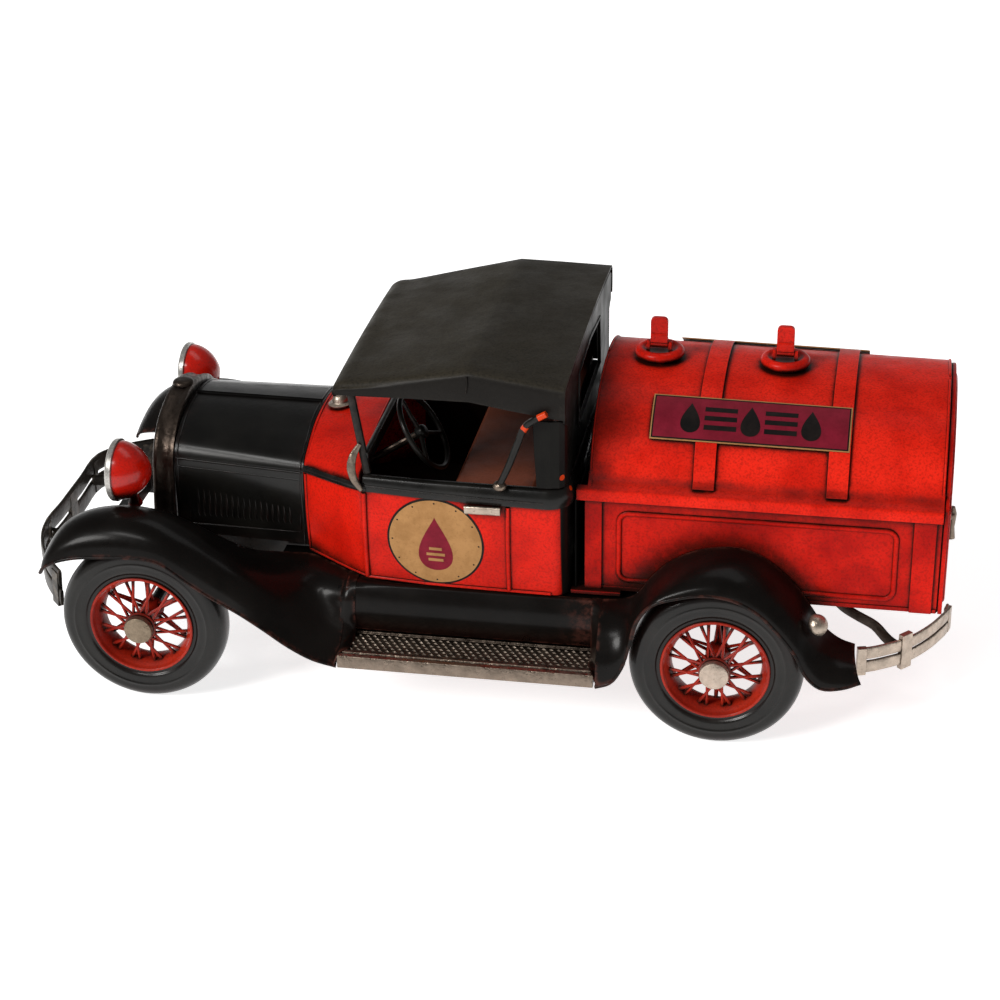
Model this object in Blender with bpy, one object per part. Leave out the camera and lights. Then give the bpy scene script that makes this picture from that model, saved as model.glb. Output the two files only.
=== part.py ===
"""Tin toy tanker truck: an open-window pickup cab with a fuel tank lowered over its bed.

All driving dimensions are in millimetres in a truck frame with X = 0 midway between the axles
(the nose points to -X), Y = 0 on the centre plane (the driver's side is -Y) and Z = 0 on the
ground.  The root empty shifts that frame so the finished truck is centred on the world origin.
"""
import math

import bpy
import bmesh
from mathutils import Matrix, Vector

# ---------------------------------------------------------------- driving dimensions (mm)
MM = 0.001
X_SHIFT = -15.33          # truck frame to world: centres the bounding box
GAP = 0.3                # paint gap between pieces that touch
SHEET = 0.9              # tin thickness

AXLE_X = 100.0           # each axle from the middle
WHEEL_Y = 58.0           # mid-plane of each wheel
TYRE_R = 29.6
TYRE_INNER_R = 17.5
TYRE_HALF = 6.5
WHEEL_SEGS = 24
TREAD_R = TYRE_R / math.cos(math.pi / WHEEL_SEGS)   # faceted tread: its flats sit at TYRE_R
RIM_IN, RIM_SEAT, RIM_LIP = 15.3, 17.2, 18.4
HUB_BORE = 1.57
AXLE_R = 1.5
AXLE_BEAM_R = 2.4
AXLE_END = 65.6
SPOKES = 12

LAMP = (-111.2, 43.0, 79.0)   # headlamp rim centre
LAMP_R = 10.8
LAMP_LEN = 12.0

HOOD_X = (-94.9, -47.3)
RAD_X = (-103.2, -95.2)
COWL_X = (-47.0, -22.4)
CAB_Z0, CAB_Z1 = 46.8, 81.4
CAB_BACK_X = 48.4

TANK_X = (54.4, 171.6)
TANK_HALF, TANK_ZC, TANK_N = 44.0, 84.0, 2.2
TANK_RISE = (31.4, 29.2)     # crown above TANK_ZC at the front and the rear
RAIL_Y, RAIL_Z = 49.0, (82.4, 86.4)
STRAPS = ((89.2, 96.4), (133.2, 140.2))
FILLERS = (72.6, 115.6)

BED_HALF, BED_Z = 46.5, (47.8, 82.1)
BED_X = (53.4, 171.6)
PANEL_X = (171.9, 173.3)

# ---------------------------------------------------------------- clean start
for old in list(bpy.data.objects):
    bpy.data.objects.remove(old, do_unlink=True)

root = bpy.data.objects.new("truck_root", None)
root.location = (X_SHIFT * MM, 0.0, 0.0)
bpy.context.scene.collection.objects.link(root)

PAINT = {
    "red": ((0.62, 0.045, 0.02, 1.0), 0.35, 0.0),
    "black": ((0.012, 0.012, 0.013, 1.0), 0.4, 0.0),
    "pewter": ((0.42, 0.38, 0.34, 1.0), 0.4, 0.9),
    "steel": ((0.6, 0.58, 0.55, 1.0), 0.3, 1.0),
    "chrome": ((0.8, 0.79, 0.77, 1.0), 0.15, 1.0),
    "rubber": ((0.018, 0.018, 0.019, 1.0), 0.6, 0.0),
    "brown": ((0.09, 0.03, 0.02, 1.0), 0.5, 0.0),
    "glass": ((0.75, 0.75, 0.7, 1.0), 0.1, 0.0),
    "grey": ((0.13, 0.16, 0.16, 1.0), 0.5, 0.3),
}


# ---------------------------------------------------------------- solids: (verts, faces)
def box(x0, x1, y0, y1, z0, z1):
    v = [(x, y, z) for x in (x0, x1) for y in (y0, y1) for z in (z0, z1)]
    f = [(0, 1, 3, 2), (4, 6, 7, 5), (0, 4, 5, 1), (2, 3, 7, 6), (0, 2, 6, 4), (1, 5, 7, 3)]
    return v, f


def loft(rings, caps=True, loop=False):
    """Quads between rings of equal length; flat caps, or joined end to end when loop."""
    n = len(rings[0])
    v = [tuple(p) for ring in rings for p in ring]
    f = []
    spans = len(rings) if loop else len(rings) - 1
    for i in range(spans):
        a, b = i * n, ((i + 1) % len(rings)) * n
        for j in range(n):
            k = (j + 1) % n
            f.append((a + j, a + k, b + k, b + j))
    if caps and not loop:
        f.append(tuple(range(n)))
        last = (len(rings) - 1) * n
        f.append(tuple(range(last + n - 1, last - 1, -1)))
    return v, f


def plate(outline, place, a0, a1):
    """Flat outline swept from a0 to a1; place(u, v, a) gives the point."""
    return loft([[place(u, w, a) for u, w in outline] for a in (a0, a1)])


def grid_normals(grid):
    rows, cols = len(grid), len(grid[0])
    out = []
    for i in range(rows):
        line = []
        for j in range(cols):
            du = Vector(grid[min(i + 1, rows - 1)][j]) - Vector(grid[max(i - 1, 0)][j])
            dv = Vector(grid[i][min(j + 1, cols - 1)]) - Vector(grid[i][max(j - 1, 0)])
            n = du.cross(dv)
            line.append(n.normalized() if n.length > 1e-9 else Vector((0, 0, 1)))
        out.append(line)
    return out


def sheet(grid, thick, side=1.0):
    """Open surface thickened to a closed tin sheet; side picks the face the tin grows from."""
    rows, cols = len(grid), len(grid[0])
    normals = grid_normals(grid)
    v = [tuple(p) for row in grid for p in row]
    for i in range(rows):
        for j in range(cols):
            v.append(tuple(Vector(grid[i][j]) - normals[i][j] * (thick * side)))
    m = rows * cols
    f = []

    def at(i, j):
        return i * cols + j

    for i in range(rows - 1):
        for j in range(cols - 1):
            a, b, c, d = at(i, j), at(i, j + 1), at(i + 1, j + 1), at(i + 1, j)
            for q in ((a, b, c), (a, c, d)):
                f.append(q)
                f.append(tuple(m + k for k in reversed(q)))
    edge = [at(0, j) for j in range(cols)] + [at(i, cols - 1) for i in range(1, rows)]
    edge += [at(rows - 1, j) for j in range(cols - 2, -1, -1)] + [at(i, 0) for i in range(rows - 2, 0, -1)]
    for a, b in zip(edge, edge[1:] + edge[:1]):
        f.append((a, m + a, m + b, b))
    return v, f


def revolve(profile, segs, centre, axis, phase=0.5):
    """Profile of (radius, height) turned about axis through centre; ends on the axis close it."""
    axis = Vector(axis).normalized()
    side = axis.orthogonal().normalized()
    if abs(axis.y) > 0.99:
        side = Vector((1, 0, 0))
    up = axis.cross(side)
    c = Vector(centre)
    closed_on_axis = profile[0][0] < 1e-6 and profile[-1][0] < 1e-6
    body = profile[1:-1] if closed_on_axis else profile
    v = []
    for k in range(segs):
        a = 2 * math.pi * (k + phase) / segs
        d = side * math.cos(a) + up * math.sin(a)
        v += [tuple(c + d * r + axis * h) for r, h in body]
    n = len(body)
    f = []
    for k in range(segs):
        a, b = k * n, ((k + 1) % segs) * n
        for j in range(n - 1 if closed_on_axis else n):
            t = (j + 1) % n
            f.append((a + j, a + t, b + t, b + j))
    if closed_on_axis:
        lo, hi = len(v), len(v) + 1
        v.append(tuple(c + axis * profile[0][1]))
        v.append(tuple(c + axis * profile[-1][1]))
        for k in range(segs):
            a, b = k * n, ((k + 1) % segs) * n
            f.append((lo, a, b))
            f.append((hi, b + n - 1, a + n - 1))
    return v, f


def rod(p, q, r0, r1=None, sides=6, phase=0.5):
    p, q = Vector(p), Vector(q)
    length = (q - p).length
    return revolve([(0, 0), (r0, 0), (r1 if r1 is not None else r0, length), (0, length)], sides, p, q - p, phase)


def bar(path, half_w, half_h, wide):
    """Rectangular bar along a path; wide(i) is the unit vector of the half_w side at point i."""
    rings = []
    pts = [Vector(p) for p in path]
    for i, p in enumerate(pts):
        t = (pts[min(i + 1, len(pts) - 1)] - pts[max(i - 1, 0)]).normalized()
        w = Vector(wide(i) if callable(wide) else wide)
        w = (w - t * w.dot(t)).normalized()
        h = t.cross(w)
        a = half_w[i] if isinstance(half_w, (list, tuple)) else half_w
        b = half_h[i] if isinstance(half_h, (list, tuple)) else half_h
        rings.append([p + w * a + h * b, p - w * a + h * b, p - w * a - h * b, p + w * a - h * b])
    return loft(rings)


def tube(path, r, sides=8):
    rings = []
    pts = [Vector(p) for p in path]
    ref = Vector((0, 0, 1))
    for i, p in enumerate(pts):
        t = (pts[min(i + 1, len(pts) - 1)] - pts[max(i - 1, 0)]).normalized()
        if abs(t.dot(ref)) > 0.95:
            ref = Vector((0, 1, 0))
        s = t.cross(ref).normalized()
        u = s.cross(t)
        rr = r[i] if isinstance(r, (list, tuple)) else r
        rings.append([p + (s * math.cos(a) + u * math.sin(a)) * rr
                      for a in (2 * math.pi * (k + 0.5) / sides for k in range(sides))])
    return loft(rings)


def flip(solid):
    """Mirror across the centre plane."""
    v, f = solid
    return [(x, -y, z) for x, y, z in v], [tuple(reversed(q)) for q in f]


def shifted(solid, dx=0.0, dy=0.0, dz=0.0):
    v, f = solid
    return [(x + dx, y + dy, z + dz) for x, y, z in v], f


def mesh_of(solid, name="tmp"):
    me = bpy.data.meshes.new(name)
    me.from_pydata([tuple(p) for p in solid[0]], [], [tuple(q) for q in solid[1]])
    bm = bmesh.new()
    bm.from_mesh(me)
    bmesh.ops.remove_doubles(bm, verts=bm.verts, dist=1e-5)
    bmesh.ops.recalc_face_normals(bm, faces=bm.faces)
    bm.to_mesh(me)
    bm.free()
    return me


def combine(first, others, mode="UNION"):
    """Exact boolean of solids, done in millimetres."""
    base = bpy.data.objects.new("tmp_base", mesh_of(first))
    bpy.context.scene.collection.objects.link(base)
    tools = []
    for s in others:
        t = bpy.data.objects.new("tmp_tool", mesh_of(s))
        bpy.context.scene.collection.objects.link(t)
        t.hide_render = True
        t.display_type = "WIRE"
        tools.append(t)
        m = base.modifiers.new("b", "BOOLEAN")
        m.operation = mode
        m.solver = "EXACT"
        m.object = t
    bpy.context.view_layer.update()
    done = base.evaluated_get(bpy.context.evaluated_depsgraph_get())
    me = done.to_mesh()
    out = ([tuple(v.co) for v in me.vertices], [tuple(p.vertices) for p in me.polygons])
    done.to_mesh_clear()
    for o in tools + [base]:
        data = o.data
        bpy.data.objects.remove(o, do_unlink=True)
        bpy.data.meshes.remove(data)
    return out


def join(first, *others):
    return combine(first, others, "UNION")


def cut(first, *others):
    return combine(first, others, "DIFFERENCE")


def node(name, solid, paint, origin=(0.0, 0.0, 0.0), angle=38.0):
    """One named piece with its own material, its origin at the given point."""
    me = mesh_of(solid, name)
    me.transform(Matrix.Scale(MM, 4) @ Matrix.Translation(-Vector(origin)))
    me.polygons.foreach_set("use_smooth", [True] * len(me.polygons))
    me.set_sharp_from_angle(angle=math.radians(angle))
    mat = bpy.data.materials.new(name)
    mat.use_nodes = True
    base, rough, metal = PAINT[paint]
    shader = mat.node_tree.nodes["Principled BSDF"]
    shader.inputs["Base Color"].default_value = base
    shader.inputs["Roughness"].default_value = rough
    shader.inputs["Metallic"].default_value = metal
    me.materials.append(mat)
    ob = bpy.data.objects.new(name, me)
    bpy.context.scene.collection.objects.link(ob)
    ob.parent = root
    ob.location = Vector(origin) * MM
    return ob


def lerp(table, x):
    """Piecewise-linear look-up in a table of (x, y...)."""
    if x <= table[0][0]:
        return table[0][1:] if len(table[0]) > 2 else table[0][1]
    for a, b in zip(table, table[1:]):
        if x <= b[0]:
            t = (x - a[0]) / (b[0] - a[0])
            out = tuple(p + (q - p) * t for p, q in zip(a[1:], b[1:]))
            return out if len(out) > 1 else out[0]
    return table[-1][1:] if len(table[-1]) > 2 else table[-1][1]


def pair(name, solid, paint):
    """A left piece and its mirror image."""
    node(name + "_left", solid, paint)
    node(name + "_right", flip(solid), paint)


# ---------------------------------------------------------------- wheels
def wheel_solid(y_out):
    """Rim, hub and spokes for a wheel whose outer face looks along y_out (-1 left, +1 right)."""
    rim = revolve([(RIM_IN, -5.5), (RIM_LIP, -5.5), (RIM_SEAT, -4.6), (RIM_SEAT, 4.6), (RIM_LIP, 5.5),
                   (RIM_IN, 5.5)], WHEEL_SEGS, (0, 0, 0), (0, y_out, 0))
    hub = revolve([(HUB_BORE, -7.5), (4.2, -7.5), (4.2, -5.0), (3.2, -3.6), (3.2, 3.6), (4.4, 5.2),
                   (4.4, 7.6), (HUB_BORE, 7.6)], 12, (0, 0, 0), (0, y_out, 0))
    spokes = []
    for k in range(SPOKES):
        a = 2 * math.pi * k / SPOKES
        turn = math.radians(14.0 if k % 4 < 2 else -14.0)
        h0, h1 = (6.2, 1.6) if k % 2 == 0 else (-5.9, -1.6)
        p = (3.6 * math.cos(a), y_out * h0, 3.6 * math.sin(a))
        q = (16.2 * math.cos(a + turn), y_out * h1, 16.2 * math.sin(a + turn))
        spokes.append(rod(p, q, 0.65, 0.6, 4))
    return join(rim, hub, *spokes)


def tyre_solid():
    return revolve([(TYRE_INNER_R, -4.4), (TYRE_INNER_R, 4.4), (21.5, 6.3), (27.2, 6.0), (TREAD_R, 2.8),
                    (TREAD_R, -2.8), (27.2, -6.0), (21.5, -6.3)], WHEEL_SEGS, (0, 0, 0), (0, 1, 0), 0.0)


def hubcap_solid(y_out):
    return revolve([(0, 7.95), (4.9, 7.95), (5.1, 8.5), (5.1, 9.7), (4.4, 10.5), (0, 10.8)],
                   12, (0, 0, 0), (0, y_out, 0))


# A flat of the faceted tread rests on the ground.
tyre = tyre_solid()
half_step = math.pi / WHEEL_SEGS
tyre = ([(x * math.cos(half_step) + z * math.sin(half_step), y, -x * math.sin(half_step) + z * math.cos(half_step))
         for x, y, z in tyre[0]], tyre[1])
for side, y_out in (("left", -1.0), ("right", 1.0)):
    wheel = wheel_solid(y_out)
    cap = hubcap_solid(y_out)
    for end, x in (("front", -AXLE_X), ("rear", AXLE_X)):
        at = (x, y_out * WHEEL_Y, TYRE_R)
        node(f"wheel_{end}_{side}", shifted(wheel, *at), "red", at)
        node(f"tyre_{end}_{side}", shifted(tyre, *at), "rubber", at, 50)
        node(f"hubcap_{end}_{side}", shifted(cap, *at), "steel", at)


# ---------------------------------------------------------------- running gear
def axle(x, bulge):
    prof = [(0, -AXLE_END), (AXLE_R, -AXLE_END), (AXLE_R, -50.0), (AXLE_BEAM_R, -49.6)]
    if bulge:
        prof += [(AXLE_BEAM_R, -17.0), (3.4, -12.0), (8.2, -6.0), (8.2, 6.0), (3.4, 12.0), (AXLE_BEAM_R, 17.0)]
    prof += [(AXLE_BEAM_R, 49.6), (AXLE_R, 50.0), (AXLE_R, AXLE_END), (0, AXLE_END)]
    return revolve(prof, 16, (x, 0, TYRE_R), (0, 1, 0))


node("front_axle", axle(-AXLE_X, False), "black")
node("rear_axle", axle(AXLE_X, True), "black")

RAIL_IN, RAIL_OUT = 20.0, 24.0
FRAME_Z = (38.0, 46.4)


def leaf(x_mid, reach, y):
    top, bottom = [], []
    low = TYRE_R + AXLE_BEAM_R + GAP
    for k in range(-4, 5):
        x = x_mid + reach * k / 4
        z = low + (FRAME_Z[0] + 2.0 - low) * (k / 4) ** 2
        bottom.append((x, z))
        top.append((x, z + 2.6))
    return plate(bottom + top[::-1], lambda u, w, a: (u, a, w), y - 1.7, y + 1.7)


frame_bits = []
for s in (-1, 1):
    y0, y1 = sorted((s * RAIL_IN, s * RAIL_OUT))
    frame_bits.append(box(-128.0, 152.0, y0, y1, *FRAME_Z))
    for x_mid, reach in ((-AXLE_X, 24.0), (AXLE_X, 27.0)):
        frame_bits.append(leaf(x_mid, reach, s * 22.0))
for x in (-124.0, -70.0, -10.0, 52.0, 135.0, 150.0):
    frame_bits.append(box(x - 2.0, x + 2.0, -21.0, 21.0, FRAME_Z[0] + 1.5, FRAME_Z[1] - 1.0))
node("chassis_frame", join(*frame_bits), "black")

# ---------------------------------------------------------------- hood, radiator, cowl
HOOD_FRONT = [(30.6, 50.0), (30.2, 56.6), (29.2, 76.6), (28.5, 79.6), (26.6, 82.6), (21.8, 85.9), (15.6, 88.4),
              (8.0, 90.0), (0.0, 90.5)]
HOOD_REAR = [(31.4, 49.0), (32.2, 56.0), (33.6, 76.8), (33.2, 79.0), (31.4, 81.4), (25.6, 84.6), (18.6, 87.6),
             (9.6, 89.5), (0.0, 90.0)]


def section(half, x):
    """Full left-to-right section from a half given from the side up to the centre."""
    return [(x, -y, z) for y, z in half] + [(x, y, z) for y, z in reversed(half[:-1])]


def blend_half(a, b, t):
    return [(p[0] + (q[0] - p[0]) * t, p[1] + (q[1] - p[1]) * t) for p, q in zip(a, b)]


hood_rows = [section(blend_half(HOOD_FRONT, HOOD_REAR, t), HOOD_X[0] + (HOOD_X[1] - HOOD_X[0]) * t)
             for t in (0.0, 0.33, 0.66, 1.0)]
hood = sheet(hood_rows, SHEET, 1.0)
node("hood", hood, "black")


def radiator_half(grow):
    pts = [(32.2, 46.8), (32.2, 56.8), (30.8, 68.0), (29.0, 78.0), (26.4, 82.9), (22.9, 86.5), (17.5, 90.1),
           (12.4, 92.0), (6.2, 93.6), (0.0, 94.0)]
    out = []
    for i, (y, z) in enumerate(pts):
        a, b = pts[max(i - 1, 0)], pts[min(i + 1, len(pts) - 1)]
        ty, tz = b[0] - a[0], b[1] - a[1]
        ln = math.hypot(ty, tz)
        ny, nz = tz / ln, -ty / ln
        if i == len(pts) - 1:
            ny, nz = 0.0, 1.0
        out.append((max(y + ny * grow, 0.0), z + nz * grow))
    out[0] = (out[0][0], pts[0][1] - grow)
    return out


def closed_ring(half, x):
    """Closed outline: up one side, over, and down the other."""
    return [(x, -y, z) for y, z in half] + [(x, y, z) for y, z in reversed(half[:-1])]


rad = loft([closed_ring(radiator_half(0.0), RAD_X[1]), closed_ring(radiator_half(0.0), RAD_X[0] + 1.0),
            closed_ring(radiator_half(-0.9), RAD_X[0]), closed_ring(radiator_half(-3.2), RAD_X[0] + 0.2),
            closed_ring(radiator_half(-3.8), RAD_X[0] + 1.4), closed_ring(radiator_half(-3.8), RAD_X[1])],
           loop=True)
neck = revolve([(0, 92.6), (3.6, 92.6), (3.6, 94.6), (2.6, 95.3), (0, 95.5)], 12, (-99.2, 0, 0), (0, 0, 1))
node("radiator_shell", join(rad, neck), "pewter")
core_ring = [closed_ring(radiator_half(-4.1), x) for x in (RAD_X[0] + 2.2, RAD_X[0] + 5.6)]
node("radiator_core", loft(core_ring), "grey")

COWL_REAR = [(49.9, 82.9), (48.8, 85.2), (42.0, 88.4), (30.0, 90.6), (20.0, 91.6), (10.0, 92.1), (0.0, 92.3)]
COWL_FRONT = [(33.2, 79.2), (31.4, 81.4), (25.6, 84.6), (18.6, 87.6), (9.6, 89.5), (5.0, 89.9), (0.0, 90.0)]
cowl_rows = [section(blend_half(COWL_FRONT, COWL_REAR, t), COWL_X[0] + (COWL_X[1] - COWL_X[0]) * t)
             for t in (0.0, 0.5, 1.0)]
cowl_skin = sheet(cowl_rows, SHEET, 1.0)
dash_half = [(y - 0.5, z - 0.4) for y, z in COWL_REAR]
dash_outline = [(-y, z) for y, z in dash_half[1:]] + [(y, z) for y, z in reversed(dash_half[1:-1])]
dash_outline = [(-48.4, 83.8)] + dash_outline + [(48.4, 83.8), (42.0, 85.2), (-42.0, 85.2)]
dash = plate(dash_outline, lambda u, w, a: (a, u, w), COWL_X[1] - 1.6, COWL_X[1])
fire_half = [(y - 0.4, z - 0.4) for y, z in COWL_FRONT]
fire_outline = [(-32.0, 80.0)] + [(-y, z) for y, z in fire_half[1:]] + [(y, z) for y, z in reversed(fire_half[1:-1])]
fire_outline += [(32.0, 80.0)]
fire = plate(fire_outline, lambda u, w, a: (a, u, w), COWL_X[0], COWL_X[0] + 1.2)
node("cowl", join(cowl_skin, dash, fire), "red")


# ---------------------------------------------------------------- cab
def cab_half(x, z):
    """Half-width of the cab side at x and height z."""
    top = lerp([(-47.0, 33.6), (-40.0, 38.9), (-34.0, 43.3), (-28.0, 47.5), (-21.5, 51.3), (0.0, 53.4), (20.0, 54.4),
                (49.0, 55.4)], x)
    low = lerp([(-47.0, 31.2), (-40.0, 36.2), (-34.0, 40.5), (-28.0, 44.6), (-21.5, 48.6), (0.0, 50.6), (20.0, 51.2),
                (49.0, 51.6)], x)
    t = (z - CAB_Z0) / (CAB_Z1 - CAB_Z0)
    return low + (top - low) * t + 0.9 * math.sin(math.pi * min(max(t, 0.0), 1.0))


def cab_plan(z, inset=0.0, corner=5.0, x_front=-47.0, x_back=CAB_BACK_X, steps=4):
    """Plan path from the left cowl edge round the back to the right cowl edge."""
    xs = [x_front, -34.0, -28.0, -21.5, 0.0, 20.0, x_back - corner]
    left = [(x, -(cab_half(x, z) - inset)) for x in xs]
    half = cab_half(x_back - corner, z) - inset
    arc = []
    for k in range(1, steps + 1):
        a = math.pi / 2 * k / steps
        arc.append((x_back - inset - corner + corner * math.sin(a),
                    -(half - corner + corner * math.cos(a))))
    left += arc
    mid = [(x_back - inset, 0.0)]
    return left + mid + [(x, -y) for x, y in reversed(left)]


def belt_z(x):
    """Height of the belt line, which falls along the cowl towards the hood."""
    return lerp([(-47.0, 78.4), (-21.5, CAB_Z1), (49.0, CAB_Z1)], x)


tub_rows = [[(x, y, CAB_Z0 + (belt_z(x) - CAB_Z0) * t) for x, y in cab_plan(CAB_Z0 + (CAB_Z1 - CAB_Z0) * t)]
            for t in (0.0, 0.33, 0.67, 1.0)]
tub = sheet(tub_rows, SHEET, -1.0)
floor_outline = cab_plan(CAB_Z0, 0.45)
floor = plate(floor_outline, lambda u, w, a: (u, w, a), CAB_Z0, CAB_Z0 + 1.2)
bulkhead_half = [(31.1, CAB_Z0 + 0.6), (32.4, 56.0), (33.4, 66.0), (33.6, 78.4)]
bulkhead = plate([(-y, z) for y, z in bulkhead_half] + [(y, z) for y, z in reversed(bulkhead_half)],
                 lambda u, w, a: (a, u, w), -46.4, -45.2)
node("cab_body", join(tub, floor, bulkhead), "red")


def belt_section(x, y, nx, ny, w_in, w_out, z0, z1):
    """Rounded-top rail section at a plan point with outward plan normal (nx, ny)."""
    pts = [(-w_in, z0), (w_out * 0.8, z0), (w_out, z0 + (z1 - z0) * 0.35), (w_out * 0.7, z0 + (z1 - z0) * 0.75),
           (w_out * 0.1, z1), (-w_in * 0.7, z1), (-w_in, z0 + (z1 - z0) * 0.8)]
    return [(x + nx * a, y + ny * a, z) for a, z in pts]


belt_path = [p for p in cab_plan(CAB_Z1, 0.0, 7.0, -47.0, CAB_BACK_X, 5) if p[0] > -21.6]
belt_rows = []
for i, (x, y) in enumerate(belt_path):
    a, b = belt_path[max(i - 1, 0)], belt_path[min(i + 1, len(belt_path) - 1)]
    tx, ty = b[0] - a[0], b[1] - a[1]
    ln = math.hypot(tx, ty)
    nx, ny = ty / ln, -tx / ln
    side_part = abs(y) > 30
    rise = lerp([(-21.0, 5.2), (0.0, 5.6), (49.0, 6.6)], x)
    out = lerp([(-21.0, 1.0), (49.0, 1.8)], x) if side_part else 0.6
    belt_rows.append(belt_section(x, y, nx, ny, 3.6, out, CAB_Z1 + GAP, CAB_Z1 + GAP + rise))
belt = loft(belt_rows)
strip = []
for s in (-1, 1):
    rows = []
    for x in (-46.8, -40.0, -34.0, -28.0, -20.4):
        h, z = cab_half(x, CAB_Z1), belt_z(x) + GAP
        rows.append([(x, s * (h + 0.15), z), (x, s * (h + 1.2), z), (x, s * (h + 1.1), z + 1.7),
                     (x, s * (h + 0.15), z + 2.4)])
    strip.append(loft(rows))
node("belt_rail", join(belt, *strip), "black")

# ---------------------------------------------------------------- windshield
POST_TOP = (-26.2, 45.4, 116.6)
POST_LOW = (-20.4, 49.0, 87.4)
ws = []
for s in (-1, 1):
    ws.append(bar([(POST_LOW[0], s * POST_LOW[1], POST_LOW[2]), (POST_TOP[0], s * POST_TOP[1], POST_TOP[2])],
                  1.3, 1.1, (1, 0, 0)))
ws.append(bar([(-20.9, -49.0, 93.6), (-20.9, 49.0, 93.6)], 1.0, 1.2, (1, 0, 0)))
ws.append(bar([(-26.0, -45.8, 115.6), (-26.0, 45.8, 115.6)], 1.0, 1.0, (1, 0, 0)))


def bracket():
    """Curved stanchion from the belt up to the windshield post, drawn on the left side."""
    path = [(-22.6, -49.3, 98.0), (-24.7, -50.6, 94.1), (-25.3, -51.7, 90.4), (-24.2, -52.8, 86.4), (-21.4, -53.9, 83.0)]
    return bar(path, 0.55, [0.7, 1.3, 1.5, 1.3, 0.8], (0, 1, 0))


node("windshield_frame", join(*ws, bracket(), flip(bracket())), "black")

# ---------------------------------------------------------------- soft-top roof and back panel
ROOF = [  # x, half-width, edge z, crown z, valance bottom z
    (-31.4, 46.8, 115.2, 116.0, 114.7),
    (-31.8, 47.6, 117.0, 118.0, 114.9),
    (-29.8, 48.2, 118.8, 119.9, 115.0),
    (-24.0, 48.7, 119.9, 121.0, 115.3),
    (-8.0, 50.6, 123.3, 124.4, 116.4),
    (15.8, 53.0, 128.4, 129.2, 117.6),
    (30.0, 54.9, 127.4, 128.6, 116.2),
    (48.4, 57.2, 126.0, 127.8, 114.8),
]
roof_rows = []
for x, half, ze, zc, zv in ROOF:
    drop = ze - zv
    pts = [(half, zv), (half + 0.2, zv + drop * 0.55), (half - 0.9, ze - 0.9), (half - 2.8, ze + 0.05),
           (half * 0.66, ze + (zc - ze) * 0.55), (half * 0.33, ze + (zc - ze) * 0.9), (0.0, zc)]
    roof_rows.append(section(pts, x))
node("cab_roof", sheet(roof_rows, SHEET, 1.0), "black", angle=50)

BACK_Z0 = 88.8


def back_half(z):
    return 55.0 + (z - 88.0) * 0.012


back_rows = []
for z, x_front in ((BACK_Z0, 38.4), (100.0, 37.8), (113.4, 37.2)):
    h = back_half(z)
    left = [(x_front, -h), (43.0, -h - 0.1), (46.0, -h + 0.6), (47.6, -h + 2.2), (48.2, -h + 4.2)]
    back_rows.append([(x, y, z) for x, y in left + [(48.2, 0.0)] + [(x, -y) for x, y in reversed(left)]])
back_shell = sheet(back_rows, SHEET, -1.0)
top_web_pts = [(-55.3, 113.0), (-55.6, 122.6), (-53.2, 124.1), (-33.0, 125.4), (0.0, 126.3), (33.0, 125.4), (53.2, 124.1),
               (55.6, 122.6), (55.3, 113.0), (50.0, 110.0), (-50.0, 110.0)]
top_web = plate(top_web_pts, lambda u, w, a: (a, u, w), 47.3, 48.2)
window_pts = [(-26.0, 100.0), (-24.0, 117.8), (0.0, 119.6), (24.0, 117.8), (26.0, 100.0)]
window = plate(window_pts, lambda u, w, a: (a, u, w), 44.0, 52.0)
node("cab_back_panel", cut(join(back_shell, top_web), window), "black")

# landau irons, from a ball on the belt up to the side of the roof
iron = join(tube([(26.2, -56.2, 88.9), (29.4, -57.1, 97.0), (35.6, -56.7, 113.6)], 1.0, 6),
            revolve([(0, -0.7), (2.1, -0.7), (2.3, 0.3), (1.8, 1.5), (0, 2.2)], 10, (26.2, -56.0, 88.9), (0, 0, 1)))
pair("top_iron", iron, "black")

# ---------------------------------------------------------------- interior
seat = [(6.0, 66.0), (5.4, 75.0), (7.2, 77.8), (33.0, 75.6), (38.6, 97.2), (41.6, 98.4), (43.8, 96.8), (38.4, 68.0),
        (36.0, 66.0)]
node("seat", plate(seat, lambda u, w, a: (u, a, w), -46.0, 46.0), "brown")

SW_C = Vector((-5.8, -25.0, 92.8))
SW_AXIS = Vector((0.84, 0.0, 0.5426)).normalized()
SW_R = 14.0
ring = revolve([(SW_R + 0.95 * math.cos(a), 0.95 * math.sin(a)) for a in (2 * math.pi * k / 6 for k in range(6))],
               24, SW_C, SW_AXIS)
hub = revolve([(0.75, -2.4), (2.4, -2.4), (2.4, 0.6), (0.75, 0.6)], 12, SW_C, SW_AXIS)
arms = []
side_v = Vector((0, 1, 0))
up_v = SW_AXIS.cross(side_v)
for k in range(3):
    a = math.radians(90 + 120 * k)
    d = side_v * math.cos(a) + up_v * math.sin(a)
    arms.append(rod(SW_C + d * 1.5 - SW_AXIS * 1.2, SW_C + d * (SW_R - 0.1), 0.8, 0.6, 4))
node("steering_wheel", join(ring, hub, *arms), "black", tuple(SW_C))
col_foot = SW_C - SW_AXIS * 44.2
column = revolve([(0, 0), (1.3, 0), (1.3, 41.4), (0.68, 41.4), (0.68, 44.5), (0, 44.5)], 12, col_foot, SW_AXIS)
node("steering_column", column, "steel")


# ---------------------------------------------------------------- tank and bed
def tank_rise(x):
    return TANK_RISE[0] + (TANK_RISE[1] - TANK_RISE[0]) * (x - TANK_X[0]) / (TANK_X[1] - TANK_X[0])


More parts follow.
